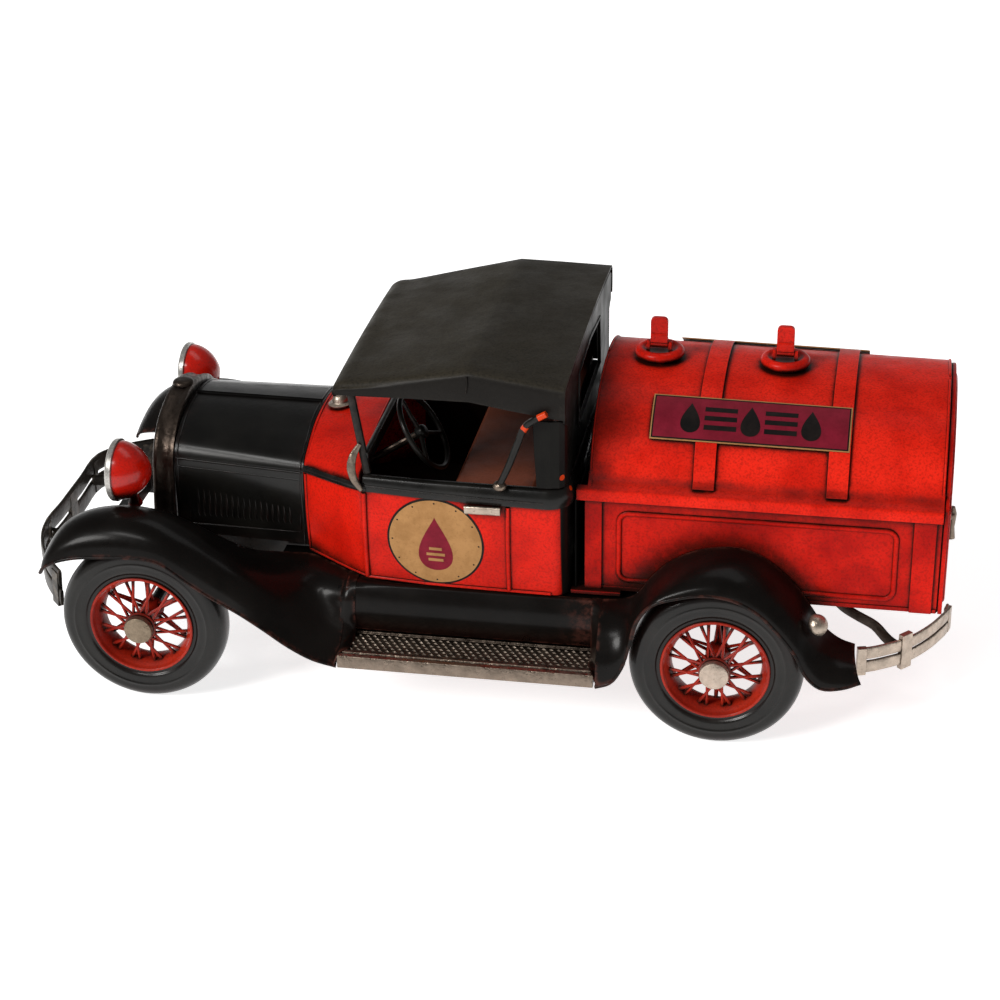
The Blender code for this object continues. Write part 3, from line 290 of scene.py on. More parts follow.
# ---------------------------------------------------------------- materials
class Tree:
    """Small helper for building a material's nodes."""

    def __init__(self, name):
        self.mat = bpy.data.materials.new(name)
        self.mat.use_nodes = True
        self.t = self.mat.node_tree
        self.bsdf = self.t.nodes["Principled BSDF"]
        self.coord = self.t.nodes.new("ShaderNodeTexCoord").outputs["Object"]

    def link(self, a, b):
        self.t.links.new(a, b)

    def put(self, node, key, value):
        if hasattr(value, "is_linked"):
            self.link(value, node.inputs[key])
        else:
            node.inputs[key].default_value = value

    def noise(self, scale, detail=4.0, rough=0.55, stretch=None):
        n = self.t.nodes.new("ShaderNodeTexNoise")
        n.inputs["Scale"].default_value = scale
        n.inputs["Detail"].default_value = detail
        n.inputs["Roughness"].default_value = rough
        src = self.coord
        if stretch:
            m = self.t.nodes.new("ShaderNodeMapping")
            m.inputs["Scale"].default_value = stretch
            self.link(src, m.inputs["Vector"])
            src = m.outputs["Vector"]
        self.link(src, n.inputs["Vector"])
        return n.outputs["Fac"]

    def math(self, op, a, b=0.0, clamp=False):
        n = self.t.nodes.new("ShaderNodeMath")
        n.operation = op
        n.use_clamp = clamp
        self.put(n, 0, a)
        self.put(n, 1, b)
        return n.outputs[0]

    def ramp(self, fac, lo, hi, out_lo=0.0, out_hi=1.0):
        n = self.t.nodes.new("ShaderNodeMapRange")
        n.interpolation_type = "SMOOTHSTEP"
        self.put(n, "Value", fac)
        n.inputs["From Min"].default_value = lo
        n.inputs["From Max"].default_value = hi
        n.inputs["To Min"].default_value = out_lo
        n.inputs["To Max"].default_value = out_hi
        return n.outputs["Result"]

    def mix(self, fac, a, b):
        n = self.t.nodes.new("ShaderNodeMix")
        n.data_type = "RGBA"
        self.put(n, "Factor", fac)
        for k, v in (("A", a), ("B", b)):
            s = [i for i in n.inputs if i.name == k and i.type == "RGBA"][0]
            if hasattr(v, "is_linked"):
                self.link(v, s)
            else:
                s.default_value = (*v, 1.0)
        return [o for o in n.outputs if o.type == "RGBA"][0]

    def occlusion(self, dist):
        n = self.t.nodes.new("ShaderNodeAmbientOcclusion")
        n.samples = 8
        n.inputs["Distance"].default_value = dist
        return n.outputs["AO"]

    def edges(self, lo=0.52, hi=0.6):
        g = self.t.nodes.new("ShaderNodeNewGeometry")
        return self.ramp(g.outputs["Pointiness"], lo, hi)

    def axis(self, which):
        s = self.t.nodes.new("ShaderNodeSeparateXYZ")
        self.link(self.coord, s.inputs[0])
        return s.outputs[which]

    def near(self, x, y, z, r0, r1):
        """1 near the truck-frame point, fading out from r0 to r1 mm."""
        n = self.t.nodes.new("ShaderNodeVectorMath")
        n.operation = "DISTANCE"
        self.link(self.coord, n.inputs[0])
        n.inputs[1].default_value = ((x + X_SHIFT) * MM, y * MM, z * MM)
        return self.ramp(n.outputs["Value"], r0 * MM, r1 * MM, 1.0, 0.0)

    def bump(self, height, strength, dist):
        n = self.t.nodes.new("ShaderNodeBump")
        n.inputs["Strength"].default_value = strength
        n.inputs["Distance"].default_value = dist
        self.link(height, n.inputs["Height"])
        self.link(n.outputs["Normal"], self.bsdf.inputs["Normal"])

    def finish(self, color, rough, metal=0.0, coat=0.0, coat_rough=0.2, spec=0.5):
        self.put(self.bsdf, "Base Color", color if hasattr(color, "is_linked") else (*color, 1.0))
        self.put(self.bsdf, "Roughness", rough)
        self.put(self.bsdf, "Metallic", metal)
        self.bsdf.inputs["Coat Weight"].default_value = coat
        self.bsdf.inputs["Coat Roughness"].default_value = coat_rough
        self.bsdf.inputs["Specular IOR Level"].default_value = spec
        return self.mat


def paint(name, base, second, stain_and_shade, stain_and_shade_power=1.0, rough=0.36, coat=0.25, grain=0.1, chip=None, chips=(), stain_and_shade_dist=0.007,
          split=None, worn=0.0, worn_color=(0.35, 0.3, 0.26), bump=0.12, spec=0.16):
    """Hand-sprayed paint: two tones, dark wash and painted shade gathered in the corners by occlusion, speckle and
    rubbed edges.
    """
    t = Tree(name)
    cloud = t.noise(55.0, 3.0)
    col = t.mix(t.ramp(cloud, 0.35, 0.7), base, second)
    speck = t.noise(1300.0, 2.0, 0.6)
    col = t.mix(t.math("MULTIPLY", t.ramp(speck, 0.42, 0.72), grain), col, stain_and_shade)
    # occlusion darkening: dark wash plus painted shade in corners, gaps and next to nearby parts
    ao = t.occlusion(stain_and_shade_dist)
    shade = t.math("SUBTRACT", 1.0, ao)
    patchy = t.ramp(t.noise(130.0, 5.0, 0.65), 0.2, 0.75, 0.45, 1.25)
    hollow_darkening = t.math("MULTIPLY", t.math("MULTIPLY", t.ramp(shade, 0.03, 0.5), patchy), stain_and_shade_power, True)
    col = t.mix(hollow_darkening, col, stain_and_shade)
    for spot in split or ():
        col = t.mix(spot(t), col, (0.007, 0.0058, 0.005))
    if worn:
        e = t.math("MULTIPLY", t.edges(), t.ramp(t.noise(260.0, 5.0, 0.7), 0.42, 0.66), True)
        col = t.mix(t.math("MULTIPLY", e, worn), col, worn_color)
    for (x, y, z, r) in chips:
        m = t.near(x, y, z, r * 0.55, r * 1.1)
        m = t.ramp(t.math("ADD", m, t.math("MULTIPLY", t.noise(420.0, 3.0), 0.9)), 0.88, 0.98)
        col = t.mix(m, col, chip)
    rr = t.ramp(t.noise(90.0, 4.0), 0.3, 0.75, rough - 0.07, rough + 0.12)
    t.bump(t.math("ADD", t.noise(320.0, 3.0), t.math("MULTIPLY", t.noise(1500.0, 2.0), 0.35)), bump, 0.0006)
    return t.finish(col, rr, 0.0, coat, 0.18, spec)


def metal(name, bright, dark, rough=0.32, hollow_darkening_power=1.0, hammer=0.2, metallic=0.95, dist=0.004):
    """Aged plated metal with a dark brown wash in its hollows."""
    t = Tree(name)
    col = t.mix(t.ramp(t.noise(240.0, 5.0, 0.7), 0.3, 0.7), bright, tuple(c * 0.72 for c in bright))
    shade = t.math("SUBTRACT", 1.0, t.occlusion(dist))
    patchy = t.ramp(t.noise(420.0, 5.0, 0.7), 0.25, 0.7, 0.4, 1.3)
    hollow_darkening = t.math("MULTIPLY", t.math("MULTIPLY", t.ramp(shade, 0.05, 0.6), patchy), hollow_darkening_power, True)
    pits = t.math("MULTIPLY", t.ramp(t.noise(900.0, 4.0, 0.7), 0.58, 0.72), 0.55)
    hollow_darkening = t.math("MAXIMUM", hollow_darkening, pits)
    col = t.mix(hollow_darkening, col, dark)
    rr = t.ramp(t.noise(380.0, 4.0, 0.6), 0.3, 0.75, rough - 0.08, rough + 0.2)
    t.bump(t.math("ADD", t.noise(380.0, 4.0, 0.6), t.math("MULTIPLY", t.noise(140.0, 2.0), 0.8)), hammer, 0.0007)
    return t.finish(col, rr, metallic)


RED = (0.70, 0.013, 0.004)
RED_DEEP = (0.50, 0.007, 0.002)
# dark red-brown for speckle, for wash and for painted shade in corners
RED_STAIN_AND_SHADE = (0.022, 0.004, 0.002)
BLACK = (0.0042, 0.0040, 0.0036)
BLACK_2 = (0.0105, 0.0098, 0.0085)
CHIP = (0.62, 0.045, 0.004)


def darker_towards_bottom(z_mm, fade):
    """Darker towards the bottom edge of a panel."""
    def spot(t):
        n = t.math("MULTIPLY", t.noise(110.0, 4.0, 0.7), 0.006)
        z = t.math("ADD", t.axis(2), n)
        return t.ramp(z, (z_mm - fade) * MM, (z_mm + fade) * MM, 0.62, 0.0)
    return spot


def painted_shadow_at(x, y, z, r0, r1):
    """A soft painted shadow round a point, such as the cab's shadow on the front of the tank."""
    def spot(t):
        return t.math("MULTIPLY", t.near(x, y, z, r0, r1), t.ramp(t.noise(90.0, 4.0, 0.7), 0.25, 0.8, 0.15, 0.7))
    return spot


def behind(x_mm):
    """Black behind this x."""
    return lambda t: t.ramp(t.axis(0), (x_mm + X_SHIFT - 0.25) * MM, (x_mm + X_SHIFT + 0.25) * MM)


def stain_and_shade_line(z_mm, fade, amount):
    """A dark line along the part at one height: painted shade in a crease, with some stain."""
    def spot(t):
        n = t.math("MULTIPLY", t.math("SUBTRACT", t.noise(70.0, 4.0, 0.7), 0.5), 0.003)
        away = t.math("ABSOLUTE", t.math("SUBTRACT", t.math("ADD", t.axis(2), n), z_mm * MM))
        return t.math("MULTIPLY", t.ramp(away, 0.0, fade * MM, amount, 0.0), t.ramp(t.noise(45.0, 3.0), 0.3, 0.65, 0.35, 1.0))
    return spot


def rear_shade(x_mm, amount):
    """A little darker behind this x."""
    return lambda t: t.ramp(t.axis(0), (x_mm + X_SHIFT - 1.5) * MM, (x_mm + X_SHIFT + 1.5) * MM, 0.0, amount)


def standing_face_shade(lo, hi):
    """Painted shade: black where the surface stands up, such as a hanging valance."""
    def spot(t):
        g = t.t.nodes.new("ShaderNodeNewGeometry")
        s = t.t.nodes.new("ShaderNodeSeparateXYZ")
        t.link(g.outputs["Normal"], s.inputs[0])
        return t.ramp(s.outputs[2], lo, hi, 0.93, 0.0)
    return spot


red = paint("red_paint", RED, RED_DEEP, RED_STAIN_AND_SHADE, 1.2, 0.38, 0.08, 0.34, spec=0.09, worn=0.25, worn_color=(0.12, 0.006, 0.003))
# red_tank: the cab's painted shadow on the tank front, and a painted shade line with some stain in the crease above the
# ledge
red_tank = paint("red_tank_paint", (0.84, 0.021, 0.008), (0.60, 0.010, 0.003), RED_STAIN_AND_SHADE, 1.5, 0.42, 0.03, 0.36, stain_and_shade_dist=0.016, spec=0.06,
                 split=[painted_shadow_at(55.0, -26.0, 108.0, 4.0, 30.0), painted_shadow_at(55.0, -46.0, 92.0, 2.0, 16.0), stain_and_shade_line(88.4, 2.6, 0.62)])
red_bed = paint("red_bed_paint", (0.64, 0.010, 0.003), (0.38, 0.003, 0.001), RED_STAIN_AND_SHADE, 1.5, 0.42, 0.04, 0.36, stain_and_shade_dist=0.012, spec=0.07,
                split=[darker_towards_bottom(51.0, 4.0)])
red_cab = paint("red_cab_paint", RED, RED_DEEP, RED_STAIN_AND_SHADE, 1.35, 0.39, 0.06, 0.34, stain_and_shade_dist=0.009, spec=0.08, split=[behind(46.2), darker_towards_bottom(48.0, 4.0)])
red_wheel = paint("red_wheel_paint", (0.40, 0.020, 0.006), (0.25, 0.010, 0.004), RED_STAIN_AND_SHADE, 1.3, 0.42, 0.1, 0.3, stain_and_shade_dist=0.004)
red_lamp = paint("red_lamp_paint", (0.64, 0.010, 0.002), RED_DEEP, RED_STAIN_AND_SHADE, 1.1, 0.27, 0.6, 0.25)
black = paint("black_paint", BLACK, BLACK_2, (0.008, 0.003, 0.002), 0.8, 0.34, 0.12, 0.1, worn=0.35, worn_color=(0.05, 0.035, 0.028))
black_hood = paint("black_hood_paint", (0.003, 0.0028, 0.0025), (0.0065, 0.006, 0.005), (0.004, 0.002, 0.0015), 0.8, 0.35, 0.45, 0.1, spec=0.08, worn=0.2, worn_color=(0.04, 0.022, 0.018))
# black_top: painted shade on the upright valance faces, and a little painted shade on the rear panel
black_top = paint("black_top_paint", (0.033, 0.028, 0.0195), (0.038, 0.032, 0.022), (0.007, 0.006, 0.005), 0.8, 0.5, 0.03, 0.6, worn=0.2,
                  worn_color=(0.06, 0.05, 0.04), bump=0.25, split=[rear_shade(15.0, 0.22), standing_face_shade(0.35, 0.8)], spec=0.1)
black_back = paint("black_back_paint", (0.0045, 0.0042, 0.0036), (0.008, 0.0074, 0.0062), (0.005, 0.004, 0.0035), 0.8, 0.45, 0.03, 0.12, chip=CHIP, spec=0.08,
                   chips=[(39.9, -55.4, 116.4, 2.0), (42.2, -55.4, 118.2, 1.9), (47.2, -54.0, 92.6, 1.4)])
black_iron = paint("black_iron_paint", BLACK, BLACK_2, (0.005, 0.004, 0.0035), 0.6, 0.36, 0.12, 0.1, chip=CHIP,
                   chips=[(35.2, -56.9, 111.6, 2.0), (41.2, -58.2, 116.8, 2.6)], worn=0.5, worn_color=(0.06, 0.045, 0.035))
black_belt = paint("black_belt_paint", BLACK, BLACK_2, (0.005, 0.004, 0.0035), 0.6, 0.3, 0.2, 0.08, chip=CHIP,
                   chips=[(43.6, -55.8, 89.4, 1.0), (47.6, -53.2, 88.9, 1.2), (49.4, -50.0, 87.4, 1.1)], worn=0.3,
                   worn_color=(0.06, 0.045, 0.04))
bumper_black = paint("bumper_paint", (0.018, 0.015, 0.012), (0.045, 0.036, 0.028), (0.005, 0.004, 0.003), 0.8, 0.36, 0.1, 0.25, worn=0.9,
                     worn_color=(0.16, 0.13, 0.1), bump=0.3)
brown = paint("seat_paint", (0.19, 0.050, 0.024), (0.24, 0.066, 0.033), (0.02, 0.008, 0.006), 0.8, 0.5, 0.03, 0.2)
# near black that stands in for the shade over the red cab interior
interior_shade = paint("interior_shade_paint", (0.010, 0.0045, 0.003), (0.018, 0.006, 0.004), (0.004, 0.002, 0.0015), 0.8, 0.55, 0.0, 0.2)
tyre_mat = paint("tyre_rubber", (0.0045, 0.0042, 0.0036), (0.010, 0.0092, 0.0076), (0.012, 0.004, 0.003), 0.7, 0.34, 0.3, 0.1, bump=0.2,
                 worn=0.5, worn_color=(0.10, 0.05, 0.035))
pewter = metal("pewter_metal", (0.24, 0.19, 0.15), (0.012, 0.007, 0.005), 0.34, 1.4, 0.6)
silver = metal("silver_metal", (0.52, 0.43, 0.35), (0.06, 0.04, 0.03), 0.34, 1.0, 0.45, 0.85)
shell_metal = metal("radiator_metal", (0.055, 0.040, 0.031), (0.008, 0.005, 0.004), 0.36, 1.0, 0.4, 0.85)
cap_brown = metal("hubcap_brown_metal", (0.27, 0.21, 0.15), (0.06, 0.042, 0.03), 0.45, 1.0, 0.7)
cap_metal = metal("hubcap_metal", (0.56, 0.46, 0.38), (0.11, 0.075, 0.06), 0.45, 0.8, 0.55)
lens_mat = metal("lens_metal", (0.55, 0.53, 0.50), (0.05, 0.04, 0.035), 0.22, 0.9, 0.12, 0.6)

t = Tree("core_metal")
zz = t.math("ABSOLUTE", t.math("SINE", t.math("MULTIPLY", t.axis(2), 2600.0)))
yy = t.math("ABSOLUTE", t.math("SINE", t.math("MULTIPLY", t.axis(1), 2600.0)))
cell = t.math("MULTIPLY", zz, yy)
t.bump(cell, 0.7, 0.0006)
core_mat = t.finish(t.mix(t.ramp(cell, 0.1, 0.6), (0.02, 0.022, 0.022), (0.10, 0.115, 0.115)), 0.5, 0.35)


def paper(name, color, second):
    """Slightly yellowed, scuffed printed paper."""
    p = Tree(name)
    col = p.mix(p.ramp(p.noise(150.0, 5.0, 0.65), 0.32, 0.7), color, second)
    fine = p.math("MULTIPLY", p.ramp(p.noise(1100.0, 4.0, 0.7), 0.52, 0.74), 0.32)
    col = p.mix(fine, col, tuple(c * 0.35 for c in second))
    p.bump(p.noise(500.0, 3.0), 0.1, 0.0003)
    return p.finish(col, 0.42, 0.0, 0.0, 0.2, 0.1)


# near black for the hood hinge line and seams, and for sheets that stand in for shade in the gap between cab and bed
# and under the body
seam_and_shade_black = paint("seam_and_shade_black", (0.0015, 0.0013, 0.0012), (0.003, 0.0026, 0.0022), (0.002, 0.0015, 0.001), 0.5, 0.6, 0.0, 0.1, spec=0.05)
cream = paper("label_cream", (0.43, 0.225, 0.085), (0.33, 0.165, 0.058))
plum = paper("label_plum", (0.215, 0.010, 0.026), (0.155, 0.007, 0.018))
ink = paper("label_ink", (0.006, 0.005, 0.005), (0.014, 0.010, 0.009))

# ---------------------------------------------------------------- wheels
tyre_profile = soft([(17.3, -4.6), (18.6, -5.3), (19.6, -5.2), (20.4, -5.9), (23.2, -6.3), (23.8, -6.55), (24.4, -6.35), (26.2, -6.2), (28.2, -5.0),
                     (29.3, -2.9), (TYRE_R, 0.0), (29.3, 2.9), (28.2, 5.0), (26.2, 6.2), (24.4, 6.35), (23.8, 6.55), (23.2, 6.3), (20.4, 5.9), (19.6, 5.2), (18.6, 5.3),
                     (17.3, 4.6)], 3)


def fine_wheel(out):
    axis = (0, out, 0)
    rim = revolve(soft([(17.3, -5.9), (18.2, -6.0), (18.6, -5.5), (18.3, -4.9), (17.2, -4.4), (16.9, 0.0), (17.2, 4.4), (18.3, 4.9),
                        (18.65, 5.6), (18.3, 6.25), (17.7, 6.2), (17.35, 5.3), (16.3, 3.9), (15.5, 2.3), (15.2, 0.0), (15.6, -3.0),
                        (16.6, -5.0), (17.3, -5.9)], 2),
                  96, (0, 0, 0), axis)
    hub = revolve([(1.57, -7.5), (4.2, -7.5), (4.3, -5.2), (3.3, -3.8), (3.2, 3.2), (4.6, 4.6), (5.4, 5.4), (5.5, 7.2),
                   (4.4, 7.6), (1.57, 7.6)], 40, (0, 0, 0), axis)
    spokes = []
    for k in range(12):
        a = 2 * math.pi * k / 12
        for turn, h0, h1, r0 in ((20.0, 6.3, 2.4, 4.6), (-20.0, 6.3, 2.4, 4.6), (15.0, -5.6, -2.2, 3.6)):
            if h0 < 0 and k % 2:
                turn = -turn
            b = a + (math.radians(15.0) if h0 < 0 else 0.0)
            p = Vector((r0 * math.cos(b), out * h0, r0 * math.sin(b)))
            q = Vector((16.1 * math.cos(b + math.radians(turn)), out * h1, 16.1 * math.sin(b + math.radians(turn))))
            spokes.append(tube([p, p.lerp(q, 0.5), q], [0.62, 0.48, 0.66], 7))
    return rim, hub, spokes


for side, out in (("left", -1.0), ("right", 1.0)):
    rim, hub, spokes = fine_wheel(out)
    for end, x in (("front", -AXLE_X), ("rear", AXLE_X)):
        at = (x, out * WHEEL_Y, TYRE_R)
        body = f"wheel_{end}_{side}_set"
        piece(f"fine_wheel_{end}_{side}", shifted(gather(rim, hub, *spokes), *at), red_wheel, body,
              [f"wheel_{end}_{side}"], 50)
        piece(f"fine_tyre_{end}_{side}", shifted(revolve(tyre_profile, 120, (0, 0, 0), (0, 1, 0)), *at), tyre_mat, body,
              [f"tyre_{end}_{side}"], 60)
        cap = revolve([(0, 7.95), (4.7, 7.95), (5.05, 8.3), (5.1, 9.6), (4.8, 10.2), (4.2, 10.5), (2.0, 10.75), (0, 10.8)], 48,
                      (0, 0, 0), (0, out, 0))
        piece(f"fine_hubcap_{end}_{side}", shifted(cap, *at), cap_brown if end == "front" else cap_metal, body, [f"hubcap_{end}_{side}"], 30)

# ---------------------------------------------------------------- hood, radiator, cowl
HOOD_FRONT = [(30.6, 50.0), (30.2, 56.6), (29.2, 76.6), (28.5, 79.6), (26.6, 82.6), (21.8, 85.9), (15.6, 88.4), (8.0, 90.0),
              (0.0, 90.5)]
HOOD_REAR = [(31.4, 49.0), (32.2, 56.0), (33.6, 76.8), (33.2, 79.0), (31.4, 81.4), (25.6, 84.6), (18.6, 87.6), (9.6, 89.5),
             (0.0, 90.0)]


def full(half, x):
    return [(x, -y, z) for y, z in half] + [(x, y, z) for y, z in reversed(half[:-1])]


def closed(half, x):
    return [(x, -y, z) for y, z in half] + [(x, y, z) for y, z in reversed(half[:-1])]


def blend_half(a, b, t):
    return [(p[0] + (q[0] - p[0]) * t, p[1] + (q[1] - p[1]) * t) for p, q in zip(a, b)]


def fine_half(half, n):
    return [(p.x, p.y) for p in spline([(y, z, 0) for y, z in half], n)]


HOOD_SIDE_F = [(50.0, 30.6), (56.6, 30.2), (76.6, 29.2)]
HOOD_SIDE_R = [(49.0, 31.4), (56.0, 32.2), (76.8, 33.6)]
hood_rows = []
for k in range(9):
    s = k / 8
    hood_rows.append(full(fine_half(blend_half(HOOD_FRONT, HOOD_REAR, s), 5), HOOD_X[0] + (HOOD_X[1] - HOOD_X[0]) * s))
extra = [sheet(hood_rows, SHEET, 1.0)]
hinge = [tube([(HOOD_X[0] + 0.8, 0, 90.5), (HOOD_X[1] - 0.8, 0, 90.0)], 0.85, 12)]
for s in (-1, 1):
    extra.append(tube([(HOOD_X[0] + 0.6, s * 29.15, 78.1), (HOOD_X[1] - 0.6, s * 33.55, 77.7)], 0.42, 8))
    extra.append(tube([(HOOD_X[0] + 0.6, s * 29.5, 75.2), (HOOD_X[1] - 0.6, s * 33.5, 74.8)], 0.3, 8))
    for k in range(17):
        x = -86.5 + 2.1 * k
        f = (x - HOOD_X[0]) / (HOOD_X[1] - HOOD_X[0])
        y_hi, y_lo = 29.45 + (33.2 - 29.45) * f, 30.2 + (32.3 - 30.2) * f
        extra.append(tube([(x, s * (y_lo - 0.3), 56.6), (x - 0.2, s * (y_lo + 0.0), 58.0), (x - 0.2, s * (y_hi + 0.0), 70.6),
                           (x, s * (y_hi - 0.3), 72.0)], [0.3, 0.5, 0.5, 0.3], 8))
    corners = [(-90.0, 53.6), (-49.4, 53.6), (-49.4, 74.0), (-90.0, 74.0), (-90.0, 53.6)]
    outline = []
    for (xa, za), (xb, zb) in zip(corners, corners[1:]):
        for k in range(8):
            x, z = xa + (xb - xa) * k / 8, za + (zb - za) * k / 8
            f = (x - HOOD_X[0]) / (HOOD_X[1] - HOOD_X[0])
            outline.append((x, s * (lerp(HOOD_SIDE_F, z) + (lerp(HOOD_SIDE_R, z) - lerp(HOOD_SIDE_F, z)) * f + 0.05), z))
    extra.append(tube(outline + outline[:1], 0.28, 6))
for x in (HOOD_X[0] + 1.0, HOOD_X[1] - 1.0):
    s = (x - HOOD_X[0]) / (HOOD_X[1] - HOOD_X[0])
    ring = fine_half(blend_half(HOOD_FRONT, HOOD_REAR, s), 4)
    extra.append(tube(full([(y + 0.02, z + 0.05) for y, z in ring], x), 0.34, 6))
piece("fine_hood", gather(*extra), black_hood, nodes=["hood"], angle=60)
piece("hood_hinge", gather(*hinge), seam_and_shade_black, angle=60)

RAD_PTS = [(32.2, 46.8), (32.2, 56.8), (30.8, 68.0), (29.0, 78.0), (26.4, 82.9), (22.9, 86.5), (17.5, 90.1), (12.4, 92.0), (6.2, 93.6),
           (0.0, 94.0)]


def rad_half(grow, n=4):
    pts = fine_half(RAD_PTS, n)
    out = []
    for i, (y, z) in enumerate(pts):
        a, b = pts[max(i - 1, 0)], pts[min(i + 1, len(pts) - 1)]
        ty, tz = b[0] - a[0], b[1] - a[1]
        ln = math.hypot(ty, tz)
        ny, nz = (0.0, 1.0) if i == len(pts) - 1 else (tz / ln, -ty / ln)
        out.append((max(y + ny * grow, 0.0), z + nz * grow))
    out[0] = (out[0][0], pts[0][1] - grow)
    return out


x0, x1 = RAD_X
steps = [(-0.5, x1), (0.0, x1 - 0.3), (0.0, x1 - 1.5), (-0.45, x1 - 2.1), (-0.45, x0 + 2.6), (0.0, x0 + 2.0), (0.0, x0 + 1.0),
         (-0.35, x0 + 0.3), (-0.9, x0), (-2.2, x0), (-3.2, x0 + 0.2), (-3.7, x0 + 0.7), (-3.8, x0 + 1.6), (-3.8, x1), (-2.0, x1)]
rad = loft([closed(rad_half(g), x) for g, x in steps], loop=True)
neck = revolve(soft([(0, 92.6), (3.7, 92.7), (3.9, 94.0), (3.3, 95.0), (1.8, 95.4), (0, 95.5)], 3), 32, (-99.2, 0, 0), (0, 0, 1))
piece("fine_radiator_shell", gather(rad, neck), shell_metal, nodes=["radiator_shell"], angle=45)
piece("fine_radiator_core", loft([closed(rad_half(-4.1, 2), x) for x in (x0 + 2.2, x0 + 5.6)]), core_mat, nodes=["radiator_core"])

COWL_REAR = [(49.9, 82.9), (48.8, 85.2), (42.0, 88.4), (30.0, 90.6), (20.0, 91.6), (10.0, 92.1), (0.0, 92.3)]
COWL_FRONT = [(33.2, 79.2), (31.4, 81.4), (25.6, 84.6), (18.6, 87.6), (9.6, 89.5), (5.0, 89.9), (0.0, 90.0)]
cowl_rows = [full(fine_half(blend_half(COWL_FRONT, COWL_REAR, k / 8), 5), COWL_X[0] + (COWL_X[1] - COWL_X[0]) * k / 8)
             for k in range(9)]
dash_half = [(y - 0.5, z - 0.4) for y, z in COWL_REAR]
dash_outline = [(-y, z) for y, z in dash_half[1:]] + [(y, z) for y, z in reversed(dash_half[1:-1])]
dash_outline = [(-48.4, 83.8)] + dash_outline + [(48.4, 83.8), (42.0, 85.2), (-42.0, 85.2)]
dash = plate(dash_outline, lambda u, w, a: (a, u, w), COWL_X[1] - 1.6, COWL_X[1])
bead_row = fine_half([(y + 0.05, z + 0.1) for y, z in COWL_REAR], 4)
cowl_bead = tube(full(bead_row, COWL_X[1] - 0.8), 0.55, 8)
front_bead = tube(full(fine_half([(y, z + 0.05) for y, z in COWL_FRONT], 4), COWL_X[0] + 0.7), 0.4, 8)
piece("fine_cowl", gather(sheet(cowl_rows, SHEET, 1.0), dash, cowl_bead, front_bead), red, nodes=["cowl"], angle=50)
cap = revolve(soft([(0, 0), (4.2, 0.05), (4.4, 0.7), (3.0, 1.15), (2.7, 2.5), (1.9, 3.7), (0, 4.3)], 4), 36, (-40.3, -3.6, 91.0),
              (-0.09, 0, 1))
piece("fine_cowl_cap", cap, silver, nodes=["cowl_filler_cap"], angle=50)

# ---------------------------------------------------------------- cab
CAB_TOP = [(-47.0, 33.6), (-40.0, 38.9), (-34.0, 43.3), (-28.0, 47.5), (-21.5, 51.3), (0.0, 53.4), (20.0, 54.4), (49.0, 55.4)]
CAB_LOW = [(-47.0, 31.2), (-40.0, 36.2), (-34.0, 40.5), (-28.0, 44.6), (-21.5, 48.6), (0.0, 50.6), (20.0, 51.2), (49.0, 51.6)]


def cab_half(x, z):
    top, low = lerp(CAB_TOP, x), lerp(CAB_LOW, x)
    s = (z - CAB_Z0) / (CAB_Z1 - CAB_Z0)
    return low + (top - low) * s + 0.9 * math.sin(math.pi * min(max(s, 0.0), 1.0))


def cab_plan(z, inset=0.0, corner=5.0, x_front=-47.0, x_back=CAB_BACK_X, steps=10):
    xs = [x_front, -40.0, -34.0, -28.0, -24.0, -21.5, -18.0, -10.0, 0.0, 10.0, 20.0, 32.0, x_back - corner]
    left = [(x, -(cab_half(x, z) - inset)) for x in xs]
    half = cab_half(x_back - corner, z) - inset
    for k in range(1, steps + 1):
        a = math.pi / 2 * k / steps
        left.append((x_back - inset - corner + corner * math.sin(a), -(half - corner + corner * math.cos(a))))
    return left + [(x_back - inset, 0.0)] + [(x, -y) for x, y in reversed(left)]


def belt_z(x):
    return lerp([(-47.0, 78.4), (-21.5, CAB_Z1), (49.0, CAB_Z1)], x)


tub_rows = []
for k in range(15):
    s = k / 14
    tub_rows.append([(x, y, CAB_Z0 + (belt_z(x) - CAB_Z0) * s) for x, y in cab_plan(CAB_Z0 + (CAB_Z1 - CAB_Z0) * s)])
bits = [sheet(tub_rows, SHEET, -1.0), plate(cab_plan(CAB_Z0, 0.45), lambda u, w, a: (u, w, a), CAB_Z0, CAB_Z0 + 1.2)]
bulk = [(31.1, CAB_Z0 + 0.6), (32.4, 56.0), (33.4, 66.0), (33.6, 78.4)]
bits.append(plate([(-y, z) for y, z in bulk] + [(y, z) for y, z in reversed(bulk)], lambda u, w, a: (a, u, w), -46.4, -45.2))
for s in (-1, 1):
    for x_hi, x_lo, r in ((-21.4, -21.8, 0.95), (28.6, 28.2, 0.85)):
        path = [(x_lo + (x_hi - x_lo) * k / 8, s * (cab_half(x_lo, 47.6 + 33.2 * k / 8) + 0.1), 47.6 + 33.2 * k / 8) for k in range(9)]
        bits.append(tube(path, r, 10))
    low = [(x, s * (cab_half(x, 47.4) + 0.15), 47.4) for x in (-46.2, -40, -34, -28, -21.5, -10, 0, 10, 20, 32, 42.5)]
    bits.append(tube(low, 0.6, 8))
    bits.append(tube([(-46.2, s * (cab_half(-46.2, z) + 0.05), z) for z in (47.6, 58.0, 68.0, 78.0)], 0.55, 8))
piece("fine_cab_body", gather(*bits), red_cab, nodes=["cab_body"], angle=45)


def skin(grid):
    """An open surface over a grid."""
    c = len(grid[0])
    return [tuple(p) for r in grid for p in r], [(i * c + j, i * c + j + 1, (i + 1) * c + j + 1, (i + 1) * c + j)
                                                 for i in range(len(grid) - 1) for j in range(c - 1)]


